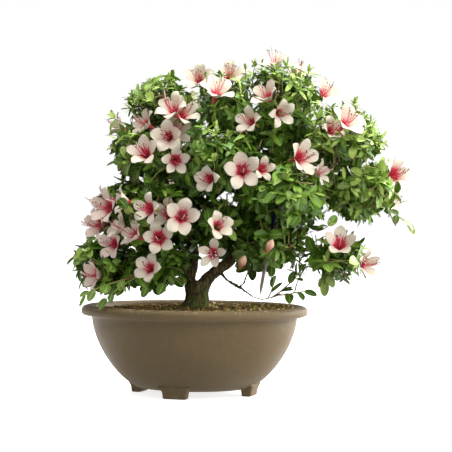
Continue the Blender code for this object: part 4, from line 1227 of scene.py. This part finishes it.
class BONSAI_OT_foliage(bpy.types.Operator):
    """Clothe each clump of foliage in leafy shoots, with lime shoots and low shoots below"""

    bl_idname = "bonsai.foliage"
    bl_label = "Foliage"

    def execute(self, context):
        settings = context.scene.bonsai_tree
        finishes = [waxy_leaf(settings), young_twig()]
        flowers = [flower_place(name) for name in FLOWER_NODES]
        flowers += [(np.array(mouth, float), facing(way), span) for mouth, way, span in MORE_FLOWERS]
        spacing = settings.shoot_spacing / MM
        skins = {name: skin(name) for name in FOLIAGE_NODES}
        for number, name in enumerate(FOLIAGE_NODES):
            points, triangles, _ = skins[name]
            others = [skins[other][2] for other in FOLIAGE_NODES if other != name]
            shoots = Shoots(settings, 70 + number, flowers)
            picks = np.random.default_rng(100 + number)
            thin = THIN.get(name, 1.0)
            spots = spread_over(points, triangles, spacing * thin, picks)
            outer_shoots(shoots, spots, others, thin, picks)
            inner_shoots(shoots, spread_over(points, triangles, spacing * 1.5, picks), picks)
            bare_twigs(shoots, spots, 36 if name in TWIGGY else 10, picks)
            inner_branches(shoots, points, picks)
            shoots.heap.piece(name.replace("foliage", "leafy"), finishes, "leaf", name)

        shoots = Shoots(settings, 5, flowers)
        for tip, way in LIME_SHOOTS:
            shoots.rosette(np.array(tip, float), way, grown=3, young=5, lime=1.0, size=0.95)
        shoots.heap.piece("lime_shoots", finishes, "leaf")
        shoots = Shoots(settings, 8, flowers)
        for number, tip in enumerate(DEEP_SHOOTS):
            way = (0.3 * math.sin(number * 2.4), -0.8, 0.4 + 0.5 * math.cos(number * 2.4))
            # Leaves deep in the crown get a lower shade level: painted shade.
            shoots.rosette(np.array(tip, float), way, grown=7, young=2, lime=0.2, size=1.1, shade=0.7)
        shoots.heap.piece("deep_shoots", finishes, "leaf")
        shoots = Shoots(settings, 6, flowers)
        for path, thick, count, lime in LOW_SHOOTS:
            shoots.twig(path, thick, 0.6)
            # The low shoots hang under the crown; their leaves get a low shade level of 0.4: painted shade.
            shoots.spray(path, count, 1.0, lime, 0.4)
        shoots.heap.piece("low_shoots", finishes, "leaf")
        return {"FINISHED"}


# ---------------------------------------------------------------- label and netting


class BONSAI_OT_label(bpy.types.Operator):
    """Shape the pointed plant label with its dipped blue head"""

    bl_idname = "bonsai.label"
    bl_label = "Plant label"

    def execute(self, context):
        points = np.unique(np.round(skin("plant_label")[0], 3), axis=0)
        middle = (points.max(axis=0) + points.min(axis=0)) / 2
        ways = np.linalg.eigh(np.cov((points - points.mean(axis=0)).T))[1]
        along = ways[:, 2] if ways[2, 2] > 0 else -ways[:, 2]
        wide = ways[:, 1]
        basis = np.stack([wide, np.cross(along, wide), along], axis=1)
        local = (points - middle) @ basis
        low, high = local.min(axis=0), local.max(axis=0)
        length, half, thick = high[2] - low[2], (high[0] - low[0]) / 2, (high[1] - low[1]) / 2
        middle = middle + basis @ ((low + high) / 2)
        rows = [(0.0, 0.12), (0.02, 0.35), (0.055, 0.78), (0.085, 0.97), (0.12, 1.0), (0.4, 1.0), (0.7, 1.0),
                (0.702, 1.0), (0.93, 1.0), (0.965, 0.97), (0.985, 0.85), (0.996, 0.6), (1.0, 0.3)]
        shape = []
        for t, share in rows:
            bow, deep = 0.9 * math.sin(math.pi * t), thick * (0.9 if t < 0.02 else 1)
            for x, y in ((-1, 0), (-0.93, -1), (0.93, -1), (1, 0), (0.93, 1), (-0.93, 1), (-1, 0)):
                shape.append((x * half * share, y * deep + bow, (t - 0.5) * length))
        rows_of, columns = np.mgrid[0:len(rows), 0:7]
        heights = np.array([t for t, _ in rows])[rows_of]
        flat = np.stack([columns / 6, heights], -1).reshape(-1, 2)
        heap = Heap()
        heap.add((np.array(shape), quads(len(rows), 7), flat), turn=basis, shift=middle)
        made = heap.piece("plant_label_stake", [label_plastic()], "label_plastic", "plant_label")
        made.data.polygons.foreach_set("use_smooth", [False] * len(made.data.polygons))
        return {"FINISHED"}


class BONSAI_OT_netting(bpy.types.Operator):
    """Give the drain meshes their black netting finish"""

    bl_idname = "bonsai.netting"
    bl_label = "Drain netting"

    def execute(self, context):
        netting = black_netting()
        for name in ("drain_mesh_left", "drain_mesh_right"):
            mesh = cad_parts[name].data
            mesh.materials.clear()
            mesh.materials.append(netting)
        return {"FINISHED"}


# ---------------------------------------------------------------- stage


class BONSAI_OT_stage(bpy.types.Operator):
    """Set out the pale floor, the soft lights and the camera"""

    bl_idname = "bonsai.stage"
    bl_label = "Stage"

    def execute(self, context):
        scene, settings = context.scene, context.scene.bonsai_stage
        scene.view_settings.view_transform = "Standard"
        floor = bpy.data.meshes.new("floor")
        floor.from_pydata([(-30, -30, 0), (30, -30, 0), (30, 30, 0), (-30, 30, 0)], [], [(0, 1, 2, 3)])
        pale, tree, shader = finish("Matt white studio floor", (0.92, 0.92, 0.92, 1.0), 0.9, 0.0)
        shader.inputs["Emission Color"].default_value = (1.0, 1.0, 1.0, 1.0)
        shader.inputs["Emission Strength"].default_value = 0.75
        floor.materials.append(pale)
        ground = bpy.data.objects.new("floor", floor)
        ground.location.z = AXIS.z - 0.0002
        ground.visible_diffuse = False
        scene.collection.objects.link(ground)

        world = bpy.data.worlds.new("Soft white surround")
        world.use_nodes = True
        tree = world.node_tree
        tree.nodes.clear()
        seen = node(tree, "LightPath").outputs["Is Camera Ray"]
        side = node(tree, "TexCoord").outputs["Generated"]
        side = node(tree, "VectorMath", {0: side, 1: (0.4, 0.0, 0.9)}, operation="DOT_PRODUCT")
        dim, bright = settings.surround * 0.5, settings.surround * 1.35
        soft = node(tree, "MapRange", {
            "Value": side.outputs["Value"], "From Min": -1.0, "To Min": dim, "To Max": bright})
        level = node(tree, "MapRange", {"Value": seen, "To Min": soft, "To Max": 1.0})
        ambient = node(tree, "Background", {"Color": (1.0, 1.0, 1.0, 1.0), "Strength": level})
        node(tree, "OutputWorld", {"Surface": ambient})
        scene.world = world

        middle = AXIS + Vector((0.04, 0.0, 0.24))
        lamps = (
            ("side_light", (1.8, 1.3, 0.75), 1.5, settings.side_light, (1.0, 0.985, 0.95)),
            ("top_light", (0.35, 0.2, 2.1), 2.3, settings.top_light, (1.0, 1.0, 0.98)),
            ("fill_light", (1.9, -1.1, 0.8), 1.2, settings.fill_light, (1.0, 0.99, 0.96)),
        )
        for name, offset, size, power, colour in lamps:
            lamp = bpy.data.lights.new(name, "AREA")
            lamp.size, lamp.energy, lamp.color = size, power, colour
            holder = bpy.data.objects.new(name, lamp)
            holder.location = middle + Vector(offset)
            holder.rotation_euler = (-Vector(offset)).to_track_quat("-Z", "Y").to_euler()
            scene.collection.objects.link(holder)

        lens = bpy.data.cameras.new("camera")
        lens.lens, lens.sensor_width = settings.lens, 36.0
        camera = bpy.data.objects.new("camera", lens)
        camera.location = AXIS + Vector((0.0417, -settings.distance, 0.239))
        sight = Vector((0, settings.distance, -0.009)).to_track_quat("-Z", "Y").to_matrix()
        camera.rotation_euler = (sight @ Matrix.Rotation(math.radians(0.57), 3, "Z")).to_euler()
        scene.collection.objects.link(camera)
        scene.camera = camera
        return {"FINISHED"}


# ---------------------------------------------------------------- panel and running order

OPERATORS = (
    BONSAI_OT_stage, BONSAI_OT_pot, BONSAI_OT_soil, BONSAI_OT_wood, BONSAI_OT_flowers, BONSAI_OT_buds,
    BONSAI_OT_foliage, BONSAI_OT_label, BONSAI_OT_netting,
)
GROUPS = {
    "bonsai_pot": PotSettings, "bonsai_tree": TreeSettings, "bonsai_flower": FlowerSettings,
    "bonsai_stage": StageSettings,
}


class BONSAI_PT_panel(bpy.types.Panel):
    """The bonsai's settings and the buttons that build it"""

    bl_idname = "BONSAI_PT_panel"
    bl_label = "Flowering bonsai"
    bl_space_type = "VIEW_3D"
    bl_region_type = "UI"
    bl_category = "Bonsai"

    def draw(self, context):
        for name, group in GROUPS.items():
            box = self.layout.box()
            for setting in group.__annotations__:
                box.prop(getattr(context.scene, name), setting)
        for operator in OPERATORS:
            self.layout.operator(operator.bl_idname)


def register():
    for made in (*GROUPS.values(), *OPERATORS, BONSAI_PT_panel):
        bpy.utils.register_class(made)
    for name, group in GROUPS.items():
        setattr(bpy.types.Scene, name, bpy.props.PointerProperty(type=group))


def unregister():
    for name in GROUPS:
        delattr(bpy.types.Scene, name)
    for made in (BONSAI_PT_panel, *reversed(OPERATORS), *GROUPS.values()):
        bpy.utils.unregister_class(made)


def main():
    """Builds every piece in order."""
    register()
    for operator in OPERATORS:
        group, name = operator.bl_idname.split(".")
        getattr(getattr(bpy.ops, group), name)()


if __name__ == "__main__":
    main()
